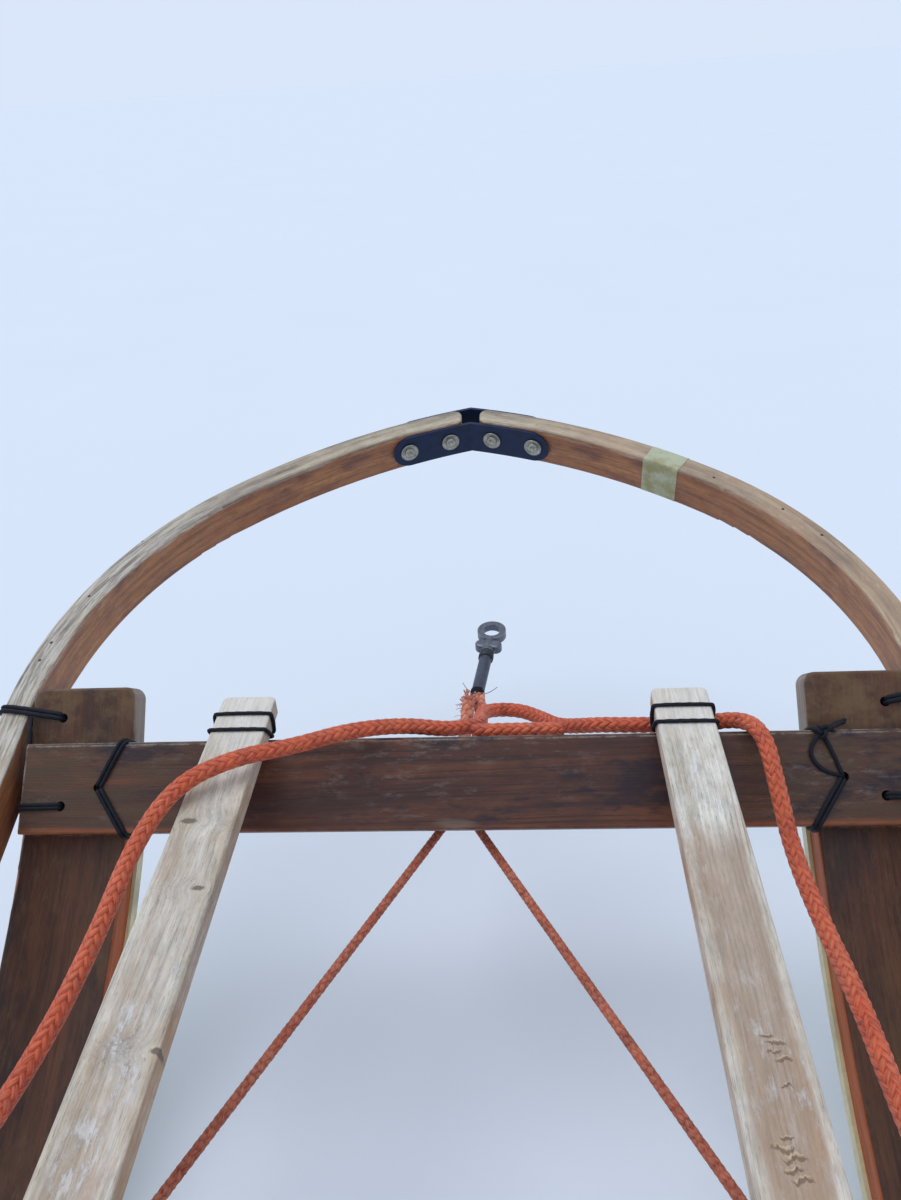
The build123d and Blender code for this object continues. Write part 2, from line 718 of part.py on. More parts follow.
def make_tow_loop():
    # A long closed loop of rope, flat from side to side
    plane, length = link_place(tow_points[0], tow_points[1])
    path = SlotCenterToCenter(length - tow_loop_short, 2 * tow_loop_half)
    wire = Plane(origin=(0, 0, 0), x_dir=(0, 0, 1), z_dir=(0, 1, 0)) * Pos(length / 2, 0) * path
    wire = wire.face().outer_wire()
    section = Plane(origin=wire @ 0, z_dir=wire % 0) * Circle(tow_loop_radius)
    return bed * plane.location * sweep(section, path=wire)


def make_tow_sleeve():
    plane, length = link_place(tow_points[1], tow_points[2])
    body = Pos(0, 0, (length + sleeve_reach) / 2) * Cylinder(sleeve_radius, length + sleeve_reach)
    body = fillet(body.edges(), sleeve_round)
    return bed * plane.location * body


def eye_centre(length):
    # How far the eye's middle lies along the tow link
    barrel_end = length + sleeve_reach + collar_gap + collar_length + barrel_length
    return barrel_end + eye_radius + eye_ring - eye_sunk


def make_tow_swivel():
    # A collar on the sleeve's end, a barrel between two lugs and a forged eye beyond them
    plane, length = link_place(tow_points[1], tow_points[2])
    collar_start = length + sleeve_reach + collar_gap
    collar = Pos(0, 0, collar_start + collar_length / 2) * Cylinder(collar_radius, collar_length)
    barrel_start = collar_start + collar_length
    link = collar + Pos(0, 0, barrel_start + barrel_length / 2) * Cylinder(barrel_radius, barrel_length)
    for side in (-1, 1):
        lug = Cylinder(lug_radius, lug_thickness)
        lug = fillet(lug.edges(), lug_round)
        link += Pos(side * lug_spread, 0, collar_start + lug_rise) * Rot(90, 0, 0) * lug
    centre = eye_centre(length)
    ring = Cylinder(eye_radius + eye_ring, eye_thickness) - Cylinder(eye_radius, 2 * eye_thickness)
    ring = Pos(0, 0, centre) * Rot(90, 0, 0) * ring
    return bed * plane.location * (link + ring)


def build_parts():
    parts = {}
    sides = (("left", -1), ("right", 1))
    for name, side in sides:
        parts["runner_" + name] = make_runner(side)
        parts["shoe_" + name] = make_shoe(side)
        parts["side_rail_" + name] = make_side_rail(side)
        parts["brush_bow_" + name] = make_bow_half(side)
        parts["foot_pad_" + name] = make_foot_pad(side)
    parts["front_crosspiece"] = make_crosspiece()
    for station, y in zip(station_names, station_y):
        parts["bunk_" + station] = make_bunk(y)
        for name, side in sides:
            parts["stanchion_" + station + "_" + name] = make_stanchion(side, y)
    # (name, place in pitches from the middle, whether it runs on to the crosspiece)
    slats = (("outer", 2.5, False), ("long", 1.5, True), ("inner", 0.5, False))
    for name, side in sides:
        for kind, place, runs_on in slats:
            front = slat_tip if runs_on else station_y[0] / cos(rise) + short_slat_overhang
            parts["bed_slat_" + kind + "_" + name] = make_slat(side * place * slat_pitch, front)
    parts["bow_inner_plate"] = make_bow_plate(bow_thickness, bow_thickness + plate_thickness)
    parts["bow_outer_plate"] = make_bow_plate(-plate_thickness, 0)
    parts["bow_bolts"] = make_bow_bolts()
    parts["driving_bow"] = make_driving_bow()
    for name, level in backrest_levels:
        parts["backrest_rail_" + name] = make_backrest_rail(level)
    for name, x in backrest_slat_x:
        parts["backrest_slat_" + name] = make_backrest_slat(x)
    parts["tail_crossbar"] = make_tail_bar()
    parts["brake_brackets"] = make_brake_brackets()
    parts["brake_pivot"] = make_brake_pivot()
    parts["brake_frame"] = make_brake_frame()
    parts["brake_tread"] = make_brake_tread()
    parts["brake_springs"] = make_brake_springs()
    parts["bridle_rope"] = make_bridle()
    parts["tow_loop"] = make_tow_loop()
    parts["tow_sleeve"] = make_tow_sleeve()
    parts["tow_swivel"] = make_tow_swivel()
    parts["side_rope"] = make_side_rope()
    return parts


sled_parts = build_parts()
front_y = max(shape.bounding_box().max.Y for shape in sled_parts.values())
shift_y = -(front_y + tail_y) / 2
print("bed origin", round(shift_y, 3), round(bed_z, 3), "front", round(front_y, 3))
os.makedirs("parts", exist_ok=True)
for node, shape in sled_parts.items():
    export_step(Pos(0, shift_y, 0) * shape, "parts/" + node + ".step")
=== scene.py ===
import bpy
import math
import random
from mathutils import Matrix, Vector


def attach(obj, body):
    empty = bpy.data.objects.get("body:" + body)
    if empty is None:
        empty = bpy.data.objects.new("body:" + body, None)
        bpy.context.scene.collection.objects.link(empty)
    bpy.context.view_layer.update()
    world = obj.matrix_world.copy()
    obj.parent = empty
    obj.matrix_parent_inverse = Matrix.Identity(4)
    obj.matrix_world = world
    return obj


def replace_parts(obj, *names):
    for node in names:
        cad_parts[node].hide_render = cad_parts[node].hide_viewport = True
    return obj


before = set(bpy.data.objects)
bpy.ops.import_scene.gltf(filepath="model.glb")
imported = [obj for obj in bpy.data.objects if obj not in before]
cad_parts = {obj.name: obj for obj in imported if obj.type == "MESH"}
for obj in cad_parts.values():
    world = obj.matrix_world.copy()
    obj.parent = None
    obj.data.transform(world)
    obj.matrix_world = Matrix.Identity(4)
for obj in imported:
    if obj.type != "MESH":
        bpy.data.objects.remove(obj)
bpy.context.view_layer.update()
print("stage: packed sled loaded,", len(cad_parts), "nodes")


def tilted(origin, degrees):  # a frame turned about X
    return Matrix.Translation(origin) @ Matrix.Rotation(math.radians(degrees), 4, "X")


bedRise = 3.0
bedFrame = tilted((0.0, 0.846242, 0.264676), bedRise)  # y = 0 over the crosspiece's edge, z = 0 on the slats
bowFrame = bedFrame @ tilted((0.0, 0.0, -0.016), 13.0)  # y along the bow's legs, z = 0 on its upper edge
boardFrame = tilted((0.0, 0.838565, 0.21397), 45.7)  # y up the crosspiece's face, z out of it
handleFrame = tilted((0.0, -0.718758, 0.03), 104.0)  # y up the driving bow's legs, z to the rear
postX, stationY = 0.3, (0.261242, -0.193758, -0.643758)  # across and along, of the three pairs of stanchions
railStart, railSlope = 0.268, 12.5  # the side rails' height at the first pair, and their fall in degrees


def placed(matrix, points):
    return [matrix @ Vector(point) for point in points]


def millimetres(points):
    return [tuple(value / 1000 for value in point) for point in points]


def mirrored(points):
    return [(-x, y, z) for x, y, z in points]


view = {"place": (0.0485, 0.287952, 0.668311), "turn": (61.309, 3.526, 3.001), "lens": 29.13}


def makeCamera():
    data = bpy.data.cameras.new("camera")
    data.lens = view["lens"]
    data.sensor_width = 36.0
    data.clip_start = 0.02
    camera = bpy.data.objects.new("camera", data)
    camera.location = view["place"]
    camera.rotation_euler = [math.radians(angle) for angle in view["turn"]]
    bpy.context.collection.objects.link(camera)
    bpy.context.scene.camera = camera


makeCamera()
print("stage: camera placed")


def smoothLine(points, closed=False):  # the points of a NURBS spline through the route
    curve = bpy.data.curves.new("route", "CURVE")
    curve.dimensions = "3D"
    spline = curve.splines.new("NURBS")
    spline.points.add(len(points) - 1)
    for controlPoint, place in zip(spline.points, points):
        controlPoint.co = (*place, 1.0)
    spline.order_u = 3
    spline.use_cyclic_u = closed
    spline.use_endpoint_u = not closed
    spline.resolution_u = 14
    holder = bpy.data.objects.new("route", curve)
    mesh = bpy.data.meshes.new_from_object(holder)
    line = [vertex.co.copy() for vertex in mesh.vertices]
    bpy.data.objects.remove(holder)
    bpy.data.curves.remove(curve)
    bpy.data.meshes.remove(mesh)
    return line + line[:1] if closed else line


def distancesOf(line):  # how far along the line each point is
    distances = [0.0]
    for a, b in zip(line, line[1:]):
        distances.append(distances[-1] + (b - a).length)
    return distances


def lineLength(line):
    return distancesOf(line)[-1]


def evenLine(line, step):  # the same line at even distances
    total = lineLength(line)
    count = max(3, round(total / step))
    places = [line[0].copy()]
    travelled, target = 0.0, total / count
    for a, b in zip(line, line[1:]):
        length = (b - a).length
        while length > 0 and travelled + length >= target - 1e-9 and len(places) < count:
            places.append(a.lerp(b, (target - travelled) / length))
            target += total / count
        travelled += length
    places.append(line[-1].copy())
    return places


def isClosed(line):
    return (line[0] - line[-1]).length < 1e-6


def tangentsOf(line):
    closed, last = isClosed(line), len(line) - 1
    result = []
    for index in range(len(line)):
        before = line[index - 1] if index > 0 else line[-2 if closed else 0]
        after = line[index + 1] if index < last else line[1 if closed else last]
        result.append((after - before).normalized())
    return result


def upsOf(line):  # a normal carried along the line without twist
    ups = []
    up = Vector((0.0, 0.0, 1.0))
    for tangent in tangentsOf(line):
        up = up - tangent * up.dot(tangent)
        if up.length < 1e-6:
            up = tangent.orthogonal()
        up.normalize()
        ups.append(up.copy())
    return ups


def spokeAt(across, other, angle):
    return across * math.cos(angle) + other * math.sin(angle)


def roundSection(radius):  # a plain tube's section, as addTube takes it
    return lambda distance, angle: (radius * math.cos(angle), radius * math.sin(angle))


class MeshParts:  # the vertices, faces, UVs and lift of one piece; on a rope the lift gives the pale worn outer parts of the strands, partly painted highlight, and painted shade between strands
    def __init__(self):
        self.vertices, self.faces, self.uvs, self.lift = [], [], [], []

    def bridge(self, a, b, sides, low, high):  # quads between two rings of vertices
        for corner in range(sides):
            following = (corner + 1) % sides
            self.faces.append((a + corner, a + following, b + following, b + corner))
            left, right = corner / sides, (corner + 1) / sides
            self.uvs.append(((low, left), (low, right), (high, right), (high, left)))

    def cap(self, base, sides, turn, along):
        self.faces.append(tuple([base + corner for corner in range(sides)][::turn]))
        self.uvs.append(tuple((along, 0.5) for _ in range(sides)))

    def addTube(self, line, ups, sides, section, lift=None):  # section(distance, angle) gives up and side
        start = len(self.vertices)
        distances = distancesOf(line)
        for point, tangent, up, distance in zip(line, tangentsOf(line), ups, distances):
            side = tangent.cross(up)
            for corner in range(sides):
                alongUp, alongSide = section(distance, 2 * math.pi * corner / sides)
                self.vertices.append(point + up * alongUp + side * alongSide)
                self.lift.append(lift(distance) if lift else 1.0)
        for ring, (low, high) in enumerate(zip(distances, distances[1:])):
            base = start + ring * sides
            self.bridge(base, base + sides, sides, low, high)
        if not isClosed(line):
            self.cap(start, sides, -1, 0.0)
            self.cap(start + (len(line) - 1) * sides, sides, 1, distances[-1])

    def addRound(self, origin, axis, outline, sides=32):  # a turned piece from (radius, height) pairs
        start = len(self.vertices)
        axis = Vector(axis).normalized()
        across = axis.orthogonal().normalized()
        other = axis.cross(across)
        for radius, height in outline:
            for corner in range(sides):
                spoke = spokeAt(across, other, 2 * math.pi * corner / sides)
                self.vertices.append(origin + axis * height + spoke * radius)
                self.lift.append(1.0)
        for ring, ((_, low), (_, high)) in enumerate(zip(outline, outline[1:])):
            base = start + ring * sides
            self.bridge(base, base + sides, sides, low, high)
        self.cap(start, sides, -1, 0.0)
        self.cap(start + (len(outline) - 1) * sides, sides, 1, 0.0)

    def build(self, name, material, slot, smooth=True):
        mesh = bpy.data.meshes.new(name)
        mesh.from_pydata([tuple(vertex) for vertex in self.vertices], [], self.faces)
        layer = mesh.uv_layers.new(name="UVMap")
        layer.data.foreach_set("uv", [value for face in self.uvs for uv in face for value in uv])
        mesh.attributes.new("lift", "FLOAT", "POINT").data.foreach_set("value", self.lift)
        mesh.polygons.foreach_set("use_smooth", [smooth] * len(mesh.polygons))
        mesh.materials.append(material)
        piece = bpy.data.objects.new(name, mesh)
        bpy.context.collection.objects.link(piece)
        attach(piece, "sled")
        return piece


def addCord(parts, points, radius, closed=False, step=0.0012, sides=8):  # a thin braided cord
    line = evenLine(smoothLine(points, closed), step)

    def section(distance, angle):
        reach = radius * (1 + 0.07 * math.cos(3 * angle + distance / radius * 1.1))
        return reach * math.cos(angle), reach * math.sin(angle)

    parts.addTube(line, upsOf(line), sides, section)


class Nodes:  # short ways to add shader nodes to one material or group
    def __init__(self, tree):
        self.tree = tree

    def put(self, value, socket):
        if isinstance(value, bpy.types.NodeSocket):
            self.tree.links.new(value, socket)
        else:
            socket.default_value = value

    def add(self, kind, inputs=None, **settings):
        made = self.tree.nodes.new("ShaderNode" + kind)
        for key, value in settings.items():
            setattr(made, key, value)
        for key, value in (inputs or {}).items():
            self.put(value, made.inputs[key])
        return made

    def group(self, group, inputs):
        return self.add("Group", inputs, node_tree=group).outputs

    def maths(self, operation, *values):
        return self.add("Math", dict(enumerate(values)), operation=operation).outputs[0]

    def times(self, value, *others):
        for other in others:
            value = self.maths("MULTIPLY", value, other)
        return value

    def plus(self, a, b):
        return self.maths("ADD", a, b)

    def minus(self, a, b):
        return self.maths("SUBTRACT", a, b)

    def linear(self, value, slope, start):  # value * slope + start
        return self.maths("MULTIPLY_ADD", value, slope, start)

    def absolute(self, value):
        return self.maths("ABSOLUTE", value)

    def larger(self, a, b):
        return self.maths("MAXIMUM", a, b)

    def mix(self, factor, a, b, blend="MIX"):
        return self.add("Mix", {0: factor, 6: a, 7: b}, data_type="RGBA", blend_type=blend).outputs[2]

    def between(self, factor, a, b):
        return self.add("Mix", {0: factor, 2: a, 3: b}, data_type="FLOAT").outputs[0]

    def step(self, value, low, high, start=0.0, end=1.0):  # start below low, end above high
        inputs = {0: value, 1: low, 2: high, 3: start, 4: end}
        return self.add("MapRange", inputs, interpolation_type="SMOOTHSTEP").outputs[0]

    def vector(self, operation, *values, output=0):
        return self.add("VectorMath", dict(enumerate(values)), operation=operation).outputs[output]

    def scaled(self, vector, scales):
        return self.vector("MULTIPLY", vector, scales)

    def length(self, vector):
        return self.vector("LENGTH", vector, output="Value")

    def distance(self, a, b):
        return self.vector("DISTANCE", a, b, output="Value")

    def reach(self, vector, place, scales):  # distance from a place, scaled along each axis
        return self.length(self.scaled(self.vector("SUBTRACT", vector, place), scales))

    def dot(self, a, b):
        return self.vector("DOT_PRODUCT", a, b, output="Value")

    def split(self, vector):
        return self.add("SeparateXYZ", {0: vector}).outputs

    def place(self):
        return self.add("TexCoord").outputs["Object"]

    def noise(self, vector, scale, detail=3.0, roughness=0.55, seed=0.0):  # one scale, or one for each axis
        if isinstance(scale, tuple):
            vector, scale = self.scaled(vector, scale), 1.0
        inputs = {"Vector": vector, "W": seed, "Scale": scale, "Detail": detail, "Roughness": roughness}
        return self.add("TexNoise", inputs, noise_dimensions="4D").outputs[0]


def newGroup(name, inputs, outputs):  # a socket's kind follows from its value or its name
    group = bpy.data.node_groups.new(name, "ShaderNodeTree")
    for label, value in inputs.items():
        kind = "Float" if isinstance(value, float) else {3: "Vector", 4: "Color"}[len(value)]
        socket = group.interface.new_socket(name=label, in_out="INPUT", socket_type="NodeSocket" + kind)
        socket.default_value = value
    for label in outputs:
        kind = label if label in ("Color", "Vector") else "Float"
        group.interface.new_socket(name=label, in_out="OUTPUT", socket_type="NodeSocket" + kind)
    return Nodes(group), group.nodes.new("NodeGroupInput").outputs, group.nodes.new("NodeGroupOutput").inputs


def rgb(red, green, blue):  # a display colour, 0 to 255, as the linear value that shaders take
    def linear(value):
        value /= 255
        return value / 12.92 if value <= 0.04045 else ((value + 0.055) / 1.055) ** 2.4
    return (linear(red), linear(green), linear(blue), 1.0)


def makeBendGroup():  # unrolls one bend, so that the grain follows bent wood
    nodes, given, result = newGroup(
        "bend follower", {"Along": 0.0, "Across": 0.0, "Start": 0.0, "Radius": 1.0, "Turn": 1.0},
        ("Along", "Across"),
    )
    ahead = nodes.minus(given["Along"], given["Start"])
    toCentre = nodes.minus(given["Radius"], given["Across"])
    angle = nodes.maths("MINIMUM", nodes.maths("ARCTAN2", ahead, toCentre), given["Turn"])
    cosine, sine = nodes.maths("COSINE", angle), nodes.maths("SINE", angle)
    past = nodes.minus(nodes.times(ahead, cosine), nodes.times(toCentre, sine))
    reach = nodes.plus(nodes.times(ahead, sine), nodes.times(toCentre, cosine))
    along = nodes.plus(nodes.plus(given["Start"], nodes.times(angle, given["Radius"])), past)
    across = nodes.minus(given["Radius"], reach)
    bent = nodes.maths("GREATER_THAN", ahead, 0.0)
    for name, value in (("Along", along), ("Across", across)):
        nodes.put(nodes.between(bent, given[name], value), result[name])
    return nodes.tree


grainNoise = {  # scales along, across and through the grain, detail and roughness
    "patch": ((5.0, 25.0, 25.0), 2.0, 0.5), "fine": ((22.0, 1500.0, 1500.0), 3.0, 0.6),
    "streak": ((6.0, 420.0, 420.0), 4.0, 0.65), "broad": ((4.0, 60.0, 60.0), 4.0, 0.6),
    "pore": ((110.0, 1500.0, 1500.0), 2.0, 0.6),
}


def makeGrainGroup():  # wood: broad bands, year rings, dark fibre lines, short pores and mottling
    nodes, given, result = newGroup(
        "wood grain",
        {"Vector": (0.0, 0.0, 0.0), "Light": (0.5, 0.4, 0.3, 1.0), "Mid": (0.4, 0.3, 0.2, 1.0),
         "Dark": (0.2, 0.1, 0.1, 1.0), "Ring Period": 0.004, "Ring Depth": 0.5, "Fibre": 0.5, "Pores": 0.4,
         "Mottle": 0.4, "Seed": 0.0},
        ("Color", "Height"),
    )
    vector, seed, dark = given["Vector"], given["Seed"], given["Dark"]
    warp = nodes.noise(vector, (2.6, 16.0, 16.0), 2.0, 0.5, seed)
    shifted = nodes.vector("ADD", vector, nodes.add("CombineXYZ", {1: nodes.times(warp, 0.022)}).outputs[0])
    patch, fine, streak, broad, pore = (nodes.noise(shifted, *values, seed) for values in grainNoise.values())
    mottle = nodes.noise(vector, (45.0, 150.0, 150.0), 5.0, 0.7, seed)
    fromPith = nodes.vector("ADD", nodes.scaled(shifted, (0.0, 1.0, 1.0)), (0.0, 0.019, 0.075))
    phase = nodes.maths("DIVIDE", nodes.times(nodes.length(fromPith), 2 * math.pi), given["Ring Period"])
    ring = nodes.maths("POWER", nodes.linear(nodes.maths("SINE", phase), 0.5, 0.5), 2.6)
    ringed = nodes.times(ring, given["Ring Depth"], nodes.between(nodes.step(patch, 0.38, 0.62), 0.35, 1.0))
    colour = nodes.mix(nodes.step(broad, 0.36, 0.64), given["Light"], given["Mid"])
    colour = nodes.mix(ringed, colour, dark)
    colour = nodes.mix(nodes.times(nodes.step(streak, 0.52, 0.68), given["Fibre"]), colour, dark)
    colour = nodes.mix(nodes.times(nodes.step(pore, 0.56, 0.68), given["Pores"]), colour, dark)
    shade = nodes.plus(nodes.linear(fine, 0.9, 0.55), nodes.linear(streak, -0.6, 0.30))
    shade = nodes.linear(nodes.minus(mottle, 0.5), given["Mottle"], shade)
    grey = nodes.add("CombineColor", {0: shade, 1: shade, 2: shade}).outputs[0]
    height = nodes.minus(nodes.times(fine, 0.7), nodes.linear(ring, 0.25, streak))
    nodes.put(nodes.mix(1.0, colour, grey, "MULTIPLY"), result["Color"])
    nodes.put(nodes.minus(height, nodes.times(pore, 0.4)), result["Height"])
    return nodes.tree


def makeEdgeGroup():  # a mask along convex edges, broken up by noise
    nodes, given, result = newGroup(
        "edge wear", {"Vector": (0.0, 0.0, 0.0), "Radius": 0.003, "Amount": 1.0, "Scale": 60.0}, ("Mask",)
    )
    bevel = nodes.add("Bevel", {"Radius": given["Radius"]}, samples=4).outputs[0]
    edge = nodes.step(nodes.dot(bevel, nodes.add("NewGeometry").outputs["Normal"]), 0.995, 0.88)
    patchy = nodes.step(nodes.noise(given["Vector"], given["Scale"], 4.0, 0.65), 0.38, 0.60)
    nodes.put(nodes.times(edge, patchy, given["Amount"]), result["Mask"])
    return nodes.tree


def makeKnotGroup():  # a knot that the grain flows round
    nodes, given, result = newGroup(
        "knot", {"Vector": (0.0, 0.0, 0.0), "Place": (0.0, 0.0, 0.0), "Size": 0.003}, ("Vector", "Mask")
    )
    vector = given["Vector"]
    offset = nodes.vector("SUBTRACT", vector, given["Place"])
    wobble = nodes.linear(nodes.noise(vector, 700.0, 3.0), 1.4, 0.3)
    distance = nodes.times(nodes.length(nodes.scaled(offset, (1.0, 0.45, 0.2))), wobble)
    ratio = nodes.maths("DIVIDE", distance, given["Size"])
    falloff = nodes.maths("EXPONENT", nodes.times(nodes.maths("POWER", ratio, 2.0), -0.14))
    inputs = {0: nodes.scaled(offset, (0.0, 1.0, 0.0)), "Scale": nodes.times(falloff, -0.6)}
    drawn = nodes.add("VectorMath", inputs, operation="SCALE").outputs[0]
    nodes.put(nodes.vector("ADD", vector, drawn), result["Vector"])
    nodes.put(nodes.step(ratio, 1.0, 0.4), result["Mask"])
    return nodes.tree


bendGroup = makeBendGroup()
grainGroup = makeGrainGroup()
edgeGroup = makeEdgeGroup()
knotGroup = makeKnotGroup()


def newMaterial(name, roughness=0.6, specular=0.5):
    material = bpy.data.materials.new(name)
    material.use_nodes = True
    shader = material.node_tree.nodes["Principled BSDF"]
    shader.inputs["Roughness"].default_value = roughness
    shader.inputs["Specular IOR Level"].default_value = specular
    return material, Nodes(material.node_tree), shader


def addBump(nodes, shader, height, strength, distance=0.0006):
    bump = nodes.add("Bump", {"Height": height, "Strength": strength, "Distance": distance})
    nodes.put(bump.outputs[0], shader.inputs["Normal"])


woodPlaces = {  # a frame, the axes along, across and through the grain, and bends (start, radius, turn)
    "bed": {"frame": bedFrame, "axes": "YXZ"},
    "board": {"frame": boardFrame, "axes": "XYZ"},
    "cross": {"frame": bedFrame, "axes": "XYZ"},
    "runner": {"frame": Matrix.Translation((0, 0, 0.030)), "axes": "YZX", "bends": ((0.401992, 0.610, 1.2),)},
    "bow": {"frame": bowFrame, "axes": "YXZ", "outer": 0.353,
            "bends": ((0.040, 0.339, 0.87616), (0.33702, 0.60583, 1.2))},
    "upright": {"frame": Matrix.Translation((postX, 0, 0)), "axes": "ZXY"},
    "rail": {"frame": tilted((0.0, stationY[0], railStart), -railSlope), "axes": "YXZ"},
    "handle": {"frame": handleFrame, "axes": "YXZ", "outer": 0.312, "bends": ((0.815, 0.135, 1.5708),)},
    "backRail": {"frame": handleFrame, "axes": "XYZ"},
    "backSlat": {"frame": handleFrame, "axes": "YXZ"},
}
woodLooks = {  # grain and top: light, middle and dark; edge, dust, stain and grime: colour and amount
    "slat": {
        "grain": (rgb(206, 190, 176), rgb(174, 158, 144), rgb(118, 102, 92)),
        "top": (rgb(222, 221, 216), rgb(190, 182, 168), rgb(128, 112, 100)),
        "edge": (rgb(232, 230, 225), 0.7), "ringPeriod": 0.0029, "ringDepth": 0.18,
        "fibre": 0.17, "pores": 0.60, "mottle": 1.3, "roughness": 0.80, "bump": 0.8, "seed": 1.0,
        "dust": (rgb(222, 226, 234), 0.5), "stain": (rgb(172, 134, 98), 0.75),
        "up": (0.0, -0.0523, 0.9986), "tan": rgb(190, 171, 158), "tanFrom": (-0.085, -0.135), "tanAmount": 0.9,
        "deepTan": rgb(178, 138, 106), "deepFrom": (-0.20, -0.32), "pitch": 0.1053,
        "fresh": (-0.05, 0.01), "freshColour": rgb(230, 228, 225),
        "scuffs": ((-0.0545, 0.1555, 0.008), (-0.2421, -0.1586, 0.014), (-0.2700, -0.1500, 0.010),
                   (-0.3050, -0.1600, 0.016)),
    },
    "runner": {
        "grain": (rgb(92, 56, 37), rgb(66, 40, 30), rgb(34, 24, 22)),
        "edge": (rgb(158, 144, 130), 0.8), "ringPeriod": 0.0042, "ringDepth": 0.25,
        "fibre": 0.35, "pores": 0.50, "mottle": 1.0, "roughness": 0.46, "bump": 0.30, "seed": 4.0,
        "specular": 0.35, "dust": (rgb(112, 98, 84), 0.25), "stain": (rgb(98, 70, 44), 0.5),
        "grime": (rgb(38, 27, 31), 0.6), "tips": (0.895, 0.915), "tipColour": rgb(110, 86, 60),
        # side and tipSide colour the faces turned sideways: lacquer and painted light together
        "side": rgb(190, 90, 24), "tipSide": rgb(146, 131, 119),
    },
    "board": {
        "grain": (rgb(102, 60, 40), rgb(72, 41, 33), rgb(34, 23, 28)),
        "edge": (rgb(186, 178, 166), 0.9), "ringPeriod": 0.0040, "ringDepth": 0.28,
        "fibre": 0.60, "pores": 0.55, "mottle": 1.1, "roughness": 0.46, "bump": 0.30, "seed": 7.0,
        "specular": 0.4, "dust": (rgb(138, 130, 126), 0.32), "stain": (rgb(66, 40, 35), 0.6),
        "grime": (rgb(34, 24, 34), 0.85), "ends": (0.15, 0.25), "endColour": rgb(74, 57, 39),
        # rim is the colour of painted orange light along the lower edge
        "rim": rgb(158, 86, 46), "chip": (-0.004, -0.0288, 0.015, 0.0040), "chipColour": rgb(118, 104, 92),
    },
    "bow": {
        "grain": (rgb(174, 120, 78), rgb(144, 91, 60), rgb(82, 54, 46)),
        "top": (rgb(190, 179, 158), rgb(136, 126, 116), rgb(66, 60, 60)),
        "edge": (rgb(206, 200, 188), 0.9), "ringPeriod": 0.0050, "ringDepth": 0.20,
        "fibre": 0.42, "pores": 0.55, "mottle": 1.1, "roughness": 0.42, "bump": 0.40, "seed": 11.0,
        "specular": 0.4, "dust": (rgb(206, 200, 188), 0.45), "stain": (rgb(94, 60, 58), 0.75),
        "up": (0.0, -0.27564, 0.96126), "spill": (-0.008, 0.001), "warm": (0.02, 0.16),
        "warmColour": rgb(184, 150, 120), "splintered": (-0.16, -0.32), "splinterColour": rgb(206, 205, 202),
        "wornAbove": (-0.034, -0.016), "nailColour": rgb(58, 46, 44),
        "nails": ((0.2752, 0.2417), (0.3000, 0.2060), (0.2237, 0.2894), (-0.2940, 0.2280),
                  (-0.3220, 0.1585), (-0.3375, 0.1051), (-0.3408, 0.0859)),
    },
    "frame": {
        "grain": (rgb(156, 112, 76), rgb(126, 88, 60), rgb(80, 56, 42)),
        "edge": (rgb(192, 174, 146), 0.7), "ringPeriod": 0.0045, "ringDepth": 0.28,
        "fibre": 0.40, "pores": 0.45, "mottle": 0.9, "roughness": 0.56, "bump": 0.30, "seed": 17.0,
        "dust": (rgb(168, 156, 142), 0.3), "stain": (rgb(94, 68, 50), 0.5),
    },
}
woodLooks["backSlat"] = {**woodLooks["slat"], "up": (0.0, 0.97, 0.24)}
woodNoise = {  # scales along, across and through the grain, detail, roughness, and an addition to the seed
    "blotch": ((9.0, 30.0, 30.0), 4.0, 0.6, 0), "ragged": ((30.0, 240.0, 240.0), 4.0, 0.7, 0),
    "stain": ((12.0, 30.0, 30.0), 5.0, 0.7, 5), "grime": ((9.0, 26.0, 26.0), 5.0, 0.72, 9),
    "splinters": ((26.0, 520.0, 520.0), 4.0, 0.7, 0), "tips": ((40.0, 34.0, 34.0), 5.0, 0.7, 2),
    "dust": ((60.0, 190.0, 190.0), 5.0, 0.75, 3), "crease": ((50.0, 210.0, 0.0), 4.0, 0.65, 7),
}
lashingHoles = {  # places beside which the finish isn't worn, seen from the middle
    "boardWood": ((0.2632, 0.82425, 0.22794), (0.2882, 0.81517, 0.21864)),
    "runnerWood": ((0.3020, 0.87456, 0.25430),),
}
slatKnots = (  # along, across and through the bed's frame, and size
    (-0.0950, -0.1678, 0.0, 0.0030), (-0.1499, -0.1468, 0.0, 0.0022), (-0.2535, -0.1380, 0.0, 0.0026),
    (-0.4700, 0.1630, 0.0, 0.0026), (-0.9500, 0.1660, 0.0, 0.0032), (-1.2100, -0.2600, 0.0, 0.0038),
    (-0.7700, -0.0420, 0.0, 0.0030), (-1.3300, 0.2550, 0.0, 0.0034),
)
knotTones = {"rim": rgb(70, 58, 52), "heart": rgb(132, 120, 110)}
slatDents = (  # crosswise dents in the right slat: along, across, size
    (-0.2440, 0.1588, 0.0011), (-0.2475, 0.1622, 0.0014), (-0.2520, 0.1606, 0.0010), (-0.2561, 0.1638, 0.0013),
    (-0.2700, 0.1622, 0.0009), (-0.2930, 0.1566, 0.0010), (-0.2981, 0.1540, 0.0015), (-0.3023, 0.1578, 0.0017),
    (-0.3073, 0.1560, 0.0013), (-0.3120, 0.1590, 0.0014),
)
dentHighlightAndShade = (  # how far ahead of the dent in sizes, amount, colour and rise, of its lip (a painted highlight) and of its hollow (painted shade)
    (1.3, 0.40, rgb(224, 198, 160), 0.5), (0.0, 0.60, rgb(112, 76, 56), -1.0),
)


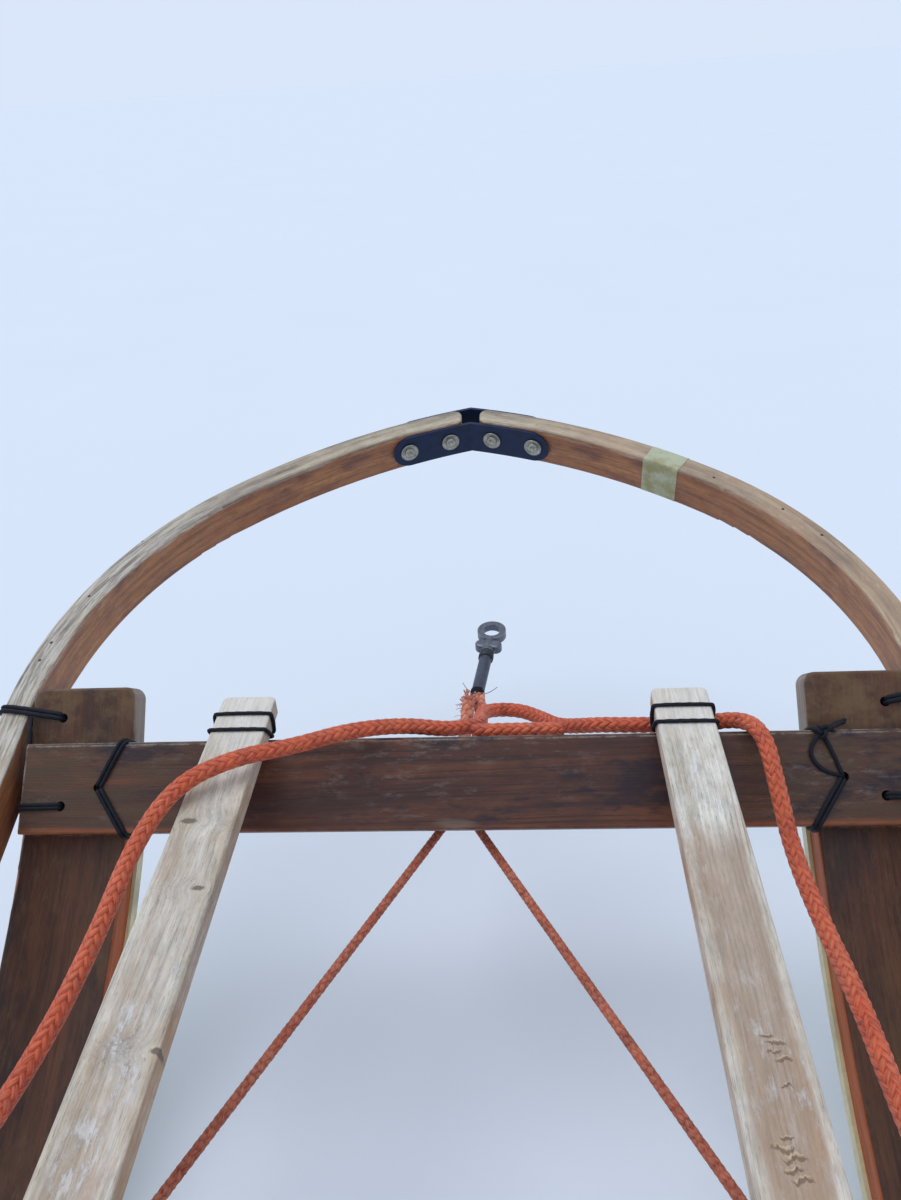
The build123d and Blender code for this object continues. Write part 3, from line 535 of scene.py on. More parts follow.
def grainVector(nodes, place):
    matrix = place["frame"]
    inputs = {"Vector": nodes.place(), "Location": matrix.to_translation(), "Rotation": matrix.to_euler()}
    split = nodes.split(nodes.add("Mapping", inputs, vector_type="TEXTURE").outputs[0])
    along, across, depth = (split[axis] for axis in place["axes"])
    if "outer" in place:
        across = nodes.minus(place["outer"], nodes.absolute(across))
    for start, radius, turn in place.get("bends", ()):
        inputs = {"Along": along, "Across": across, "Start": start, "Radius": radius, "Turn": turn}
        along, across = nodes.group(bendGroup, inputs)
    return nodes.add("CombineXYZ", {0: along, 1: across, 2: depth}).outputs[0]


class Wood(Nodes):  # one wooden material, its colour built up in layers
    def __init__(self, name, look, place, knots):
        self.material, nodes, self.shader = newMaterial(name, specular=look.get("specular", 0.5))
        super().__init__(nodes.tree)
        self.look, self.frame, self.grime, self.knotMask = look, place["frame"], 0.0, 0.0
        self.point = grainVector(self, place)
        for *spot, size in knots:
            knot = self.group(knotGroup, {"Vector": self.point, "Place": spot, "Size": size})
            self.point, self.knotMask = knot["Vector"], self.larger(self.knotMask, knot["Mask"])
        self.along, self.across, self.depth = self.split(self.point)
        self.spread = self.split(self.place())[0]
        self.normal = self.add("TexCoord").outputs["Normal"]
        self.blotch, self.ragged = self.grained("blotch"), self.grained("ragged")
        self.rough = self.linear(self.blotch, 0.2, look["roughness"] - 0.10)
        body = self.grain(look["grain"], look["fibre"])
        self.colour, self.height = body["Color"], body["Height"]
        self.stain = self.step(self.grained("stain"), 0.46, 0.64)
        self.lay(*look["stain"], self.stain)

    def grained(self, name):
        *values, addition = woodNoise[name]
        return self.noise(self.point, *values, self.look["seed"] + addition)

    def grain(self, colours, fibre):
        look, (light, middle, dark) = self.look, colours
        return self.group(grainGroup, {
            "Vector": self.point, "Light": light, "Mid": middle, "Dark": dark, "Fibre": fibre,
            "Ring Period": look["ringPeriod"], "Ring Depth": look["ringDepth"], "Pores": look["pores"],
            "Mottle": look["mottle"], "Seed": look["seed"],
        })

    def lay(self, tone, *masks):  # one more colour, where all the masks are high
        self.colour = self.mix(self.times(*masks), self.colour, tone)

    def unevenAlong(self):  # the place along the grain, made uneven by the blotches
        return self.linear(self.blotch, 0.06, self.minus(self.along, 0.03))

    def addGrime(self):  # old dark stains in the lacquer
        tone, amount = self.look["grime"]
        self.grime = self.times(self.step(self.grained("grime"), 0.50, 0.62), amount)
        self.lay(tone, self.grime)

    def addTop(self):  # the face turned to the sky is bleached and greyed
        look, body, ragged = self.look, self.colour, self.ragged
        self.bleached = self.step(self.linear(ragged, 0.6, self.dot(self.normal, look["up"])), 0.55, 0.95)
        if "spill" in look:  # the weathering runs ragged over the upper edge
            level = self.plus(self.depth, self.linear(ragged, 0.030, -0.018))
            self.bleached = self.larger(self.bleached, self.step(level, *look["spill"]))
        self.colour = self.grain(look["top"], min(1.0, look["fibre"] * 2.0))["Color"]
        tone, amount = look["stain"]
        self.lay(tone, self.stain, amount * 0.5)
        if "tan" in look:
            self.addTan()
        if "warm" in look:  # less grey on the right half
            patchy = self.step(self.blotch, 0.35, 0.65, 0.25, 0.65)
            self.lay(look["warmColour"], self.step(self.spread, *look["warm"]), patchy)
        if "splintered" in look:  # whitest where the finish has gone at the left
            splinters = self.step(self.grained("splinters"), 0.44, 0.58)
            self.lay(look["splinterColour"], self.step(self.spread, *look["splintered"]), splinters, 0.7)
        if "fresh" in look:  # palest at the tips
            patchy = self.step(ragged, 0.30, 0.60, 0.3, 0.8)
            self.lay(look["freshColour"], self.step(self.along, *look["fresh"]), patchy, 0.8)
        self.colour = self.mix(self.bleached, body, self.colour)
        self.rough = self.plus(self.rough, self.times(self.bleached, 0.2))

    def addTan(self):  # less bleached where it has been rubbed, but pale at the slats' margins
        look, pitch = self.look, self.look["pitch"]
        cell = self.maths("FRACT", self.maths("DIVIDE", self.across, pitch))
        fromMiddle = self.times(self.absolute(self.minus(cell, 0.5)), pitch)
        margin = self.step(self.linear(self.ragged, 0.008, fromMiddle), 0.0155, 0.0205, 1.0, 0.25)
        behind = self.step(self.unevenAlong(), *look["tanFrom"])
        sideways = self.step(self.across, -0.1, 0.0, 0.45, 1.0)
        rubbed = self.times(behind, sideways, look["tanAmount"], margin)
        tanned = self.mix(1.0, self.colour, look["tan"], "MULTIPLY")
        self.lay(self.mix(0.45, tanned, look["tan"]), rubbed)
        deep = self.times(self.step(self.along, *look["deepFrom"]), self.step(self.stain, 0.0, 1.0, 0.25, 0.6))
        self.lay(look["deepTan"], deep, rubbed)

    def addEnds(self):
        look = self.look
        reach = self.plus(self.absolute(self.along), self.linear(self.blotch, 0.20, -0.10))
        patchy, clean = self.step(self.ragged, 0.30, 0.62), self.linear(self.grime, -0.95, 0.8)
        self.lay(look["endColour"], self.step(reach, *look["ends"]), patchy, clean)

    def addTips(self):  # greyed and rubbed above the crosspiece
        self.upper = self.step(self.unevenAlong(), *self.look["tips"])
        patchy = self.step(self.grained("tips"), 0.42, 0.62, 0.05, 0.75)
        self.lay(self.look["tipColour"], self.upper, patchy, self.linear(self.grime, -0.7, 1.0))

    def addSideLacquerAndLight(self):  # the plank's sides are painted lighter: their lacquer together with painted light on the faces turned sideways
        sideways = self.step(self.absolute(self.split(self.normal)[0]), 0.45, 0.85)
        tone = self.mix(self.upper, self.look["side"], self.look["tipSide"])
        self.lay(tone, sideways, self.step(self.ragged, 0.30, 0.60, 0.35, 0.85))

    def addChip(self):  # a worn hollow at the lower edge
        x, y, halfWide, halfHigh = self.look["chip"]
        reach = self.reach(self.point, (x, y, 0.0), (1 / halfWide, 1 / halfHigh, 0.0))
        chipped = self.step(self.linear(self.ragged, 1.6, reach), 2.0, 1.3)
        self.lay(self.look["chipColour"], chipped, self.step(self.blotch, 0.3, 0.6, 0.4, 0.7))

    def addLitLowerEdge(self):  # painted orange light along the lower edge, more at the ends
        low = self.step(self.linear(self.ragged, 0.006, self.across), -0.0240, -0.0290)
        self.lay(self.look["rim"], low, self.step(self.absolute(self.along), 0.12, 0.24, 0.25, 0.7))

    def addDust(self):
        dust = self.grained("dust")
        self.dusty = self.times(self.step(dust, 0.50, 0.66), self.step(self.blotch, 0.40, 0.62))
        if "up" in self.look:
            self.dusty = self.times(self.dusty, self.linear(self.bleached, 0.8, 0.2))
        for along, across, size in self.look.get("scuffs", ()):
            reach = self.reach(self.point, (along, across, 0.0), (0.5, 1.0, 0.0))
            scuffed = self.times(self.step(reach, size, size * 0.3), self.step(dust, 0.46, 0.56))
            self.dusty = self.larger(self.dusty, scuffed)
        self.lay(*self.look["dust"], self.dusty)

    def addWear(self, holes):
        tone, amount = self.look["edge"]
        inputs = {"Vector": self.point, "Radius": 0.0022, "Amount": amount, "Scale": 110.0}
        masks = [self.group(edgeGroup, inputs)["Mask"]]
        if "wornAbove" in self.look:  # the lower edge keeps its finish
            masks.append(self.step(self.depth, *self.look["wornAbove"], 0.15, 1.0))
        for hole in holes:
            beside = self.distance(self.vector("ABSOLUTE", self.place()), hole)
            masks.append(self.step(beside, 0.010, 0.016))
        self.lay(tone, *masks)

    def addNails(self):  # small dark nail heads in the upper edge
        for nail in self.look["nails"]:
            head = self.distance(self.place(), self.frame @ Vector((*nail, 0.0)))
            self.lay(self.look["nailColour"], self.step(head, 0.0016, 0.0011))

    def addKnots(self):
        self.lay(knotTones["rim"], self.knotMask, 0.8)
        self.lay(knotTones["heart"], self.step(self.knotMask, 0.70, 1.0, 0.0, 0.6))
        self.height = self.minus(self.height, self.knotMask)

    def addDents(self, dents):  # short wavy creases across the grain, each with a painted highlight on its raised lip and painted shade in its hollow
        bent = self.add("CombineXYZ", {0: self.linear(self.grained("crease"), 0.012, -0.006)}).outputs[0]
        creased = self.vector("ADD", self.point, bent)
        for along, across, size in dents:
            for ahead, amount, tone, rise in dentHighlightAndShade:
                place, scales = (along + ahead * size, across, 0.0), (1.5 / size, 0.25 / size, 0.0)
                dent = self.step(self.linear(self.ragged, 0.8, self.reach(creased, place, scales)), 1.4, 0.9)
                self.lay(tone, dent, amount)
                self.height = self.linear(dent, rise, self.height)

    def finish(self):
        self.put(self.colour, self.shader.inputs["Base Color"])
        self.put(self.rough, self.shader.inputs["Roughness"])
        addBump(self, self.shader, self.linear(self.dusty, 0.5, self.height), self.look["bump"], 0.0010)
        return self.material


woodLayers = {  # what a key in a wood's look adds, in this order
    "grime": Wood.addGrime, "up": Wood.addTop, "ends": Wood.addEnds, "tips": Wood.addTips,
    "side": Wood.addSideLacquerAndLight, "chip": Wood.addChip, "rim": Wood.addLitLowerEdge,
}


def makeWood(name, look, place, knots=(), dents=()):
    wood = Wood(name, look, place, knots)
    for key, layer in woodLayers.items():
        if key in look:
            layer(wood)
    wood.addDust()
    wood.addWear(lashingHoles.get(name, ()))
    if "nails" in look:
        wood.addNails()
    if knots:
        wood.addKnots()
    if dents:
        wood.addDents(dents)
    return wood.finish()


woods = {"slatWood": makeWood("slatWood", woodLooks["slat"], woodPlaces["bed"], slatKnots, slatDents)}
for name, look, place in (
    ("runnerWood", "runner", "runner"), ("boardWood", "board", "board"), ("bowWood", "bow", "bow"),
    ("handleWood", "frame", "handle"), ("postWood", "frame", "upright"), ("railWood", "frame", "rail"),
    ("bunkWood", "frame", "cross"), ("backWood", "frame", "backRail"), ("backSlatWood", "backSlat", "backSlat"),
):
    woods[name] = makeWood(name, woodLooks[look], woodPlaces[place])
print("stage: wood ready")

coats = {  # colours, roughness and metallic: of the coat, and where it is worn
    "shoePlastic": {"colours": (rgb(226, 217, 176), rgb(190, 190, 180)), "roughness": (0.55, 0.6),
                    "scale": 30.0},
    "platePaint": {"colours": (rgb(12, 34, 70), rgb(52, 68, 104)), "roughness": (0.42, 0.4), "scale": 140.0,
                   "edge": 0.5, "bump": 0.1, "specular": 0.3},
    "zinc": {"colours": (rgb(180, 178, 166), rgb(112, 90, 64)), "roughness": (0.32, 0.6), "scale": 300.0,
             "metallic": (0.85, 0.4), "edge": 0.7},
    "brakeSteel": {"colours": (rgb(38, 40, 42), rgb(150, 148, 144)), "roughness": (0.45, 0.4), "scale": 70.0,
                   "metallic": (0.0, 0.9)},
    "treadMetal": {"colours": (rgb(186, 188, 190), rgb(220, 222, 224)), "roughness": (0.42, 0.28),
                   "scale": 60.0, "metallic": (0.95, 0.95)},
    "linkSteel": {"colours": (rgb(116, 120, 130), rgb(190, 192, 198)), "roughness": (0.38, 0.25),
                  "scale": 320.0, "metallic": (0.85, 0.95)},
    "sleeveRubber": {"colours": (rgb(58, 68, 88), rgb(112, 122, 140)), "roughness": (0.45, 0.4), "scale": 170.0,
                     "edge": 0.4},
    "blackRubber": {"colours": (rgb(26, 28, 34), rgb(64, 66, 72)), "roughness": (0.5, 0.4), "scale": 200.0,
                    "edge": 0.4},
    "padRubber": {"colours": (rgb(42, 42, 43), rgb(92, 90, 88)), "roughness": (0.75, 0.8), "scale": 90.0},
}


def darkened(colour, factor):
    return tuple(channel * factor for channel in colour[:3]) + (1.0,)


def makeCoat(name, look):  # a coat with mottling, scuffs and bare edges
    material, nodes, shader = newMaterial(name, specular=look.get("specular", 0.5))
    vector, scale, edgeAmount = nodes.place(), look["scale"], look.get("edge", 1.0)
    (base, worn), (roughness, wornRoughness) = look["colours"], look["roughness"]
    mottle = nodes.noise(vector, scale, 5.0, 0.65)
    speck = nodes.noise(vector, scale * 9, 3.0, 0.7)
    scuff = nodes.noise(nodes.scaled(vector, (1.0, 0.2, 1.0)), scale * 5, 4.0, 0.7)
    colour = nodes.mix(nodes.step(mottle, 0.35, 0.68), base, darkened(base, 0.62))
    inputs = {"Vector": vector, "Radius": 0.0010, "Amount": edgeAmount, "Scale": scale * 3}
    scratches = nodes.times(nodes.step(scuff, 0.62, 0.70), 0.6 * edgeAmount)
    bare = nodes.maths("MINIMUM", nodes.plus(nodes.group(edgeGroup, inputs)["Mask"], scratches), 1.0)
    rough = nodes.linear(mottle, 0.25, roughness - 0.12)
    nodes.put(nodes.mix(bare, colour, worn), shader.inputs["Base Color"])
    nodes.put(nodes.between(bare, rough, wornRoughness), shader.inputs["Roughness"])
    if "metallic" in look:
        nodes.put(nodes.between(bare, *look["metallic"]), shader.inputs["Metallic"])
    addBump(nodes, shader, nodes.linear(bare, -1.5, speck), look.get("bump", 0.15))
    return material


hardware = {name: makeCoat(name, look) for name, look in coats.items()}
tapeLook = {"clear": rgb(150, 144, 98), "milky": rgb(178, 184, 158), "grime": rgb(132, 116, 88)}


def makeTapeMaterial():  # yellowed and milky, the wood's colour showing through
    material, nodes, shader = newMaterial("tape", 0.32)
    vector = nodes.place()
    milky = nodes.step(nodes.noise(vector, 60.0, 4.0, 0.6), 0.35, 0.62)
    creases = nodes.noise(nodes.scaled(vector, (0.5, 1.0, 1.0)), 420.0, 3.0, 0.6)
    grime = nodes.times(nodes.step(nodes.noise(vector, 180.0, 4.0, 0.7), 0.55, 0.75), 0.5)
    colour = nodes.mix(milky, tapeLook["clear"], tapeLook["milky"])
    nodes.put(nodes.mix(grime, colour, tapeLook["grime"]), shader.inputs["Base Color"])
    addBump(nodes, shader, creases, 0.35)
    return material


# pale and wear set the paler outer parts of the strands, worn fibre and painted highlight together; deep also
# sets the painted shade between the strands
ropeLooks = {
    "sideRope": {"base": rgb(206, 84, 46), "deep": rgb(150, 44, 24), "pale": rgb(222, 132, 96), "wear": 0.5,
                 "yarns": 9.0, "fadeScale": 22.0, "roughness": 0.62, "sheen": 0.1},
    "bridleRope": {"base": rgb(178, 86, 60), "deep": rgb(120, 44, 32), "pale": rgb(204, 142, 116), "wear": 0.5,
                   "yarns": 8.0, "fadeScale": 60.0, "roughness": 0.74, "sheen": 0.1},
    "loopRope": {"base": rgb(208, 102, 72), "deep": rgb(152, 56, 36), "pale": rgb(226, 172, 146), "wear": 0.7,
                 "yarns": 8.0, "fadeScale": 120.0, "roughness": 0.8, "sheen": 0.3},
    "blackCord": {"base": rgb(14, 17, 26), "deep": rgb(7, 8, 13), "pale": rgb(34, 39, 54), "wear": 0.35,
                  "yarns": 10.0, "fadeScale": 160.0, "roughness": 0.70, "sheen": 0.02, "specular": 0.25},
}


def makeRopeMaterial(name, look):  # yarns; the strands' outer parts are paler, as worn fibre and painted highlight together, with painted shade between the strands
    material, nodes, shader = newMaterial(name, look["roughness"], look.get("specular", 0.5))
    lift = nodes.add("Attribute", attribute_name="lift").outputs["Fac"]
    yarn = nodes.noise(nodes.add("TexCoord").outputs["UV"], (90.0, look["yarns"], 1.0), 2.0, 0.6)
    fade = nodes.noise(nodes.place(), look["fadeScale"], 3.0, 0.6)
    speck = nodes.noise(nodes.place(), 1100.0, 2.0, 0.6)
    colour = nodes.mix(nodes.step(yarn, 0.40, 0.62), look["base"], look["deep"])
    # paler where the strand lies outermost: worn fibre and painted highlight
    tops = nodes.times(nodes.step(lift, 0.40, 1.0), nodes.step(fade, 0.30, 0.70, 0.30, 1.0), look["wear"])
    colour = nodes.mix(tops, colour, look["pale"])
    colour = nodes.mix(nodes.times(nodes.step(speck, 0.60, 0.74), 0.35), colour, look["pale"])
    # painted shade between the strands, where they lie innermost
    colour = nodes.mix(nodes.step(lift, 0.28, -0.05, 0.0, 0.8), colour, look["deep"])
    nodes.put(colour, shader.inputs["Base Color"])
    nodes.put(look["sheen"], shader.inputs["Sheen Weight"])
    nodes.put(0.5, shader.inputs["Sheen Roughness"])
    addBump(nodes, shader, nodes.linear(speck, 0.4, yarn), 0.5)
    return material


ropes = {name: makeRopeMaterial(name, look) for name, look in ropeLooks.items()}
tapeMaterial = makeTapeMaterial()
print("stage: other materials ready")

finishes = (
    ("runner_", "runnerWood"), ("shoe_", "shoePlastic"), ("front_crosspiece", "boardWood"),
    ("bed_slat", "slatWood"), ("bunk", "bunkWood"), ("stanchion", "postWood"), ("side_rail", "railWood"),
    ("brush_bow", "bowWood"), ("bow_inner", "platePaint"), ("bow_outer", "platePaint"),
    ("driving_bow", "handleWood"), ("backrest_rail", "backWood"), ("backrest_slat", "backSlatWood"),
    ("tail_crossbar", "bunkWood"), ("brake_tread", "treadMetal"), ("brake_springs", "zinc"),
    ("brake_pivot", "zinc"), ("brake", "brakeSteel"), ("foot_pad", "padRubber"),
    ("tow_sleeve", "sleeveRubber"), ("tow_swivel", "linkSteel"),
)


def dressNodes():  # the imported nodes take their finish
    for name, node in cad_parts.items():
        chosen = next((finish for start, finish in finishes if name.startswith(start)), None)
        if chosen:
            for slot in node.material_slots:
                slot.material = woods.get(chosen) or hardware[chosen]


dressNodes()


strandSides = 6


def swingOf(rope, strand, distance):  # 1 where the strand lies outermost, -1 where it lies innermost
    crossing = rope["strands"] * distance / rope["pitch"]
    way, index = 1 - strand % 2 * 2, strand // 2
    if rope["over"] == 1:
        return way * math.cos(math.pi * crossing)
    if way > 0:
        return math.cos(math.pi / 2 * (crossing + 2 * index - 0.5))
    return math.cos(math.pi / 2 * (2 * index - crossing - 2.5))


def addBraid(parts, line, rope):  # half of the strands turn each way, over and under in turn
    count, width, thickness = rope["strands"], rope["width"], rope["thickness"]
    mean = rope["diameter"] / 2 - rope["wave"] - thickness
    ups, tangents, distances = upsOf(line), tangentsOf(line), distancesOf(line)
    for strand in range(count):
        way, index = 1 - strand % 2 * 2, strand // 2
        strandLine, strandUps = [], []
        for point, up, tangent, distance in zip(line, ups, tangents, distances):
            angle = 4 * math.pi * index / count + way * 2 * math.pi * distance / rope["pitch"]
            spoke = spokeAt(up, tangent.cross(up), angle)
            strandLine.append(point + spoke * (mean + rope["wave"] * swingOf(rope, strand, distance)))
            strandUps.append(spoke)
        stretch = lineLength(strandLine) / max(distances[-1], 1e-6)
        parts.addTube(
            strandLine, strandUps, strandSides,
            lambda distance, angle: (thickness * math.cos(angle), width * math.sin(angle)),
            lambda distance: 0.5 + 0.5 * swingOf(rope, strand, distance / stretch),
        )


sideRope = {"diameter": 0.012, "pitch": 0.054, "strands": 16, "over": 2, "width": 0.0021, "thickness": 0.00105,
            "wave": 0.00045, "step": 0.0024}
sideRoute = millimetres((  # in the bed's frame
    (-300, -562.6, -30), (-297, -490, -40), (-276, -400, -48), (-246, -310, -48),
    (-222, -230, -40), (-210, -160, -26), (-202, -108, -8), (-180, -74, 12),
    (-146, -52, 15), (-112, -34, 8), (-76, -10, 2), (-40, 12, -12),
    (-9, 20, -24), (13, 42, -37), (11, 66, -50), (15, 92, -63),
    (41, 97, -67), (60, 78, -61), (72, 54, -50), (87, 40, -39),
    (102, 30, -30), (124, 24, -26), (148, 22, -24.5), (172, 21.5, -24.5),
    (198.5, 13, -12.5), (207.5, -15.5, -1), (211, -46, -19), (216, -80, -46),
    (223, -124, -58), (228, -184, -54), (227, -260, -46), (234, -340, -44),
    (256, -420, -46), (284, -490, -40), (300, -562.6, -30),
))
tailRoute = millimetres(((8, 21, -27), (24, 21.5, -27), (44, 21.5, -27), (62, 23, -28), (74, 25, -30)))


def braidAlong(route, rope):  # a braid along a route in the bed's frame, with its smooth and its even line
    smooth = smoothLine(placed(bedFrame, route))
    line = evenLine(smooth, rope["step"])
    parts = MeshParts()
    addBraid(parts, line, rope)
    return parts, smooth, line


def makeSideRope():
    parts, smooth, line = braidAlong(sideRoute, sideRope)
    piece = parts.build("side_rope_braid", ropes["sideRope"], "rope_orange")
    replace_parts(piece, "side_rope")
    tail, _, _ = braidAlong(tailRoute, sideRope)  # the rope's own end, below the fold
    tailPiece = tail.build("side_rope_end", ropes["sideRope"], "rope_orange")


makeSideRope()

bridle = {"diameter": 0.0066, "pitch": 0.034, "strands": 8, "over": 1, "width": 0.0020, "thickness": 0.0010,
          "wave": 0.00040, "step": 0.0020}
bridleRoute = millimetres((  # in the bed's frame
    (-288, -585, -63), (-152, -303, -72.5), (-20, -31, -81.6), (-11, -12, -82), (-3, -8, -82),
    (5, -12, -82), (14, -30, -81.6), (154, -303, -68), (296, -580, -54.5),
))
bothSides = ((-1, "left"), (1, "right"))
postTies = {  # half of a stanchion's section, and heights: of the turns, and where the side rope meets it
    "half": (0.014, 0.0225), "corner": 0.003, "bridle": (0.166, 0.173, 0.180), "rope": (0.2435, 0.2560, 0.2585),
    "start": 0.2080,
}


def rectangleLoop(halfWide, halfHigh, radius, cut=0.002):  # points round a rectangle, two at each corner
    x, z = halfWide + radius, halfHigh + radius
    return [(cut - x, z), (-x, z - cut), (-x, cut - z), (cut - x, -z),
            (x - cut, -z), (x, cut - z), (x, z - cut), (x - cut, z)]


def turnsAt(centre, loop, levels):  # rising turns of a loop about an upright
    points = []
    for low, high in zip(levels, levels[1:]):
        for index, (x, y) in enumerate(loop):
            points.append((centre[0] + x, centre[1] + y, low + (high - low) * index / len(loop)))
    return points


def addTie(parts, rope, side, levels, start=()):  # turns of rope round a front stanchion
    radius = rope["diameter"] / 2
    halfX, halfY = postTies["half"]
    centre = (side * postX, stationY[0])
    loop = rectangleLoop(halfX, halfY, radius, radius + postTies["corner"])
    points = [(centre[0], centre[1] + (halfY + radius), height) for height in start]
    addBraid(parts, evenLine(smoothLine(points + turnsAt(centre, loop, levels)), rope["step"]), rope)


def makeBridle():
    parts, _, _ = braidAlong(bridleRoute, bridle)
    for side, _ in bothSides:
        addTie(parts, bridle, side, postTies["bridle"])
    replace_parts(parts.build("bridle_braid", ropes["bridleRope"], "rope_orange"), "bridle_rope")


def makeRopeTies():  # the side rope's ends, tied round the front stanchions
    for side, name in bothSides:
        parts = MeshParts()
        addTie(parts, sideRope, side, postTies["rope"], (postTies["start"],))
        parts.build("rope_tie_" + name, ropes["sideRope"], "rope_orange")


makeBridle()
makeRopeTies()

towLoop = {"diameter": 0.0112, "pitch": 0.046, "strands": 8, "over": 1, "width": 0.0032, "thickness": 0.0015,
           "wave": 0.0006, "step": 0.0018}
towRoute = millimetres((  # in the bed's frame
    (0.5, 107, -64), (-0.5, 97, -66), (-1.5, 80, -69), (-3.5, 50, -73.4), (-5, 15, -73.4),
    (-4.5, -5, -72.6), (-3, -15, -75), (-2, -16.5, -81), (0, -12, -86.5), (4, -2, -88.6),
    (8, 20, -87), (11, 55, -80), (11.5, 86, -73.8), (9.2, 110, -71), (7.1, 125, -69.6),
))
fibreLooks = (  # the frayed end, and loose fibres along the worn strands
    {"count": 60, "ahead": 0.9, "out": 0.55, "length": (0.004, 0.010), "radius": (0.00035, 0.0008),
     "reach": 0.0034},
    {"count": 90, "ahead": 0.2, "out": 1.0, "length": (0.003, 0.007), "radius": (0.00015, 0.0003),
     "reach": 0.0045, "places": (1, 32)},
)


def makeTowLoop():
    rng = random.Random(5)
    parts, _, line = braidAlong(towRoute, towLoop)
    ahead = (line[0] - line[3]).normalized()
    for look in fibreLooks:
        for _ in range(look["count"]):
            base = line[rng.randrange(*look["places"])] if "places" in look else line[0]
            spread = Vector([rng.gauss(0, 1) for _ in range(3)]).normalized()
            out = (ahead * look["ahead"] + spread * look["out"]).normalized()
            length = rng.uniform(*look["length"])
            start = base + spread * look["reach"] - ahead * 0.003
            bend = Vector([rng.uniform(-0.6, 0.6) for _ in range(3)])
            points = [start, start + out * length * 0.5, start + (out + bend).normalized() * length]
            fibre = evenLine(smoothLine(points), 0.001)
            parts.addTube(fibre, upsOf(fibre), 4, roundSection(rng.uniform(*look["radius"])))
    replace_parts(parts.build("tow_loop_rope", ropes["loopRope"], "rope_orange"), "tow_loop")


linkOrigin, linkAxis = Vector((0.006, 0.96774, 0.20095)), Vector((0.13821, 0.98176, 0.13054))
sleeveRing = ((0.0058, 0.0505), (0.0066, 0.0510), (0.0067, 0.0550), (0.0063, 0.0583), (0.0056, 0.0585))
whipping = {"turns": 6, "pitch": 0.0011, "radius": 0.0006, "start": 0.001, "reach": 0.0060,
            "ends": ((0.6, 0.011), (2.2, 0.008), (4.4, 0.009)),  # angle and length of the thread's loose ends
            "endStart": 0.004, "endReach": 0.0056, "endRadius": 0.0003}


def makeSleeveDetails():
    ring = MeshParts()
    ring.addRound(linkOrigin, linkAxis, sleeveRing)
    ring.build("sleeve_ring", hardware["blackRubber"], "sleeve_rubber")
    across = linkAxis.orthogonal().normalized()
    other = linkAxis.cross(across)
    points = []
    for step in range(whipping["turns"] * 8 + 1):  # eight points to a turn
        along = whipping["start"] + whipping["pitch"] * step / 8
        spoke = spokeAt(across, other, step * math.pi / 4)
        points.append(linkOrigin + linkAxis * along + spoke * whipping["reach"])
    parts = MeshParts()
    addCord(parts, points, whipping["radius"], step=0.0008, sides=6)
    for turn, length in whipping["ends"]:
        spoke = spokeAt(across, other, turn)
        start = linkOrigin + linkAxis * whipping["endStart"] + spoke * whipping["endReach"]
        points = [start, start + spoke * length * 0.5, start + (spoke + linkAxis * 0.7) * length]
        addCord(parts, points, whipping["endRadius"], step=0.001, sides=4)
    parts.build("sleeve_whipping", ropes["blackCord"], "cord_black")


makeTowLoop()
makeSleeveDetails()
print("stage: ropes ready")

slatWrap = {
    "radius": 0.0014, "slatX": 0.15795,
    "points": millimetres((
        (6, 9, -16.6), (-19.5, 9, -16.5), (-21.5, 9.5, -14.5), (-21.5, 12, -0.5), (-19.5, 12.2, 1.5),
        (19.5, 12.2, 1.5), (21.5, 12, -0.5), (21.5, 11, -14.5), (19.5, 10.5, -16.5), (-19.5, 5.2, -16.5),
        (-21.5, 5, -14.5), (-21.5, -5, -0.5), (-19.5, -6, 1.5), (19.5, -6, 1.5), (21.5, -5.5, -0.5),
        (21.5, 5, -14.5), (19.5, 6.5, -16.5), (0, 8.5, -18.4),
    )),
}
boardCords = {  # in the crosspiece's frame, for the left side
    "radius": 0.0015, "apart": 0.0012,
    "upperArm": millimetres((
        (-263, 0, 10), (-262.6, 0.6, 20.3), (-260.5, 4, 21.3), (-249.5, 28, 21.4), (-247, 32.5, 20.6),
        (-245.6, 34.4, 16), (-245.2, 34.4, 4), (-245.2, 30, -4), (-245.4, 22, -19.5), (-249, 16, -21.8),
        (-256, 7.5, -24), (-260, 3, -31.4), (-263, 0, -31.9),
    )),
    "lowerArm": millimetres((
        (-263, 0, 10), (-262.4, -0.8, 20.3), (-260, -4.5, 21.3), (-243, -30, 21.4), (-241.2, -33.6, 20),
        (-241, -34.6, 15), (-241.5, -34.4, 3), (-244, -32, -8), (-247.8, -27, -26), (-250.5, -22, -31.6),
        (-259, -6, -32), (-263, -1, -31.9),
    )),
    "end": millimetres((
        (-290, -13, 10), (-290.3, -13, 20.3), (-293, -13, 21.3), (-315, -13.3, 21.4), (-320.3, -13.4, 20.4),
    )),
    "endUp": millimetres((
        (-321.5, -12.6, 16), (-322, 4, 12), (-322.6, 22, 12), (-323.6, 36, 10), (-325.2, 47, 8), (-326, 53, 6),
    )),
    "endDown": millimetres((
        (-321.5, -14.5, 16), (-322, -22, 8), (-325, -28, 1.5), (-328.4, -30, -8), (-331.2, -31, -24),
        (-327, -31, -31.8), (-305, -25, -32),
    )),
}
tipCords = {  # in the bow's frame, for the left side: through the tip's hole and round the bow
    "radius": 0.0018,
    "points": millimetres((
        (-303, 33.5, -11), (-303.5, 28.8, -2.0), (-306, 28.4, 0.0), (-318, 30, 1.0), (-326, 31.2, 1.6),
        (-332, 32.4, 1.8), (-351, 35.6, 1.8), (-354.7, 36.1, -1.2), (-354.7, 36, -36.5), (-351.5, 35.6, -39.8),
        (-332.5, 34.5, -39.8), (-324, 36, -33), (-310, 38, -24.8), (-304, 38.8, -21.8), (-303, 37.5, -17),
    )),
}
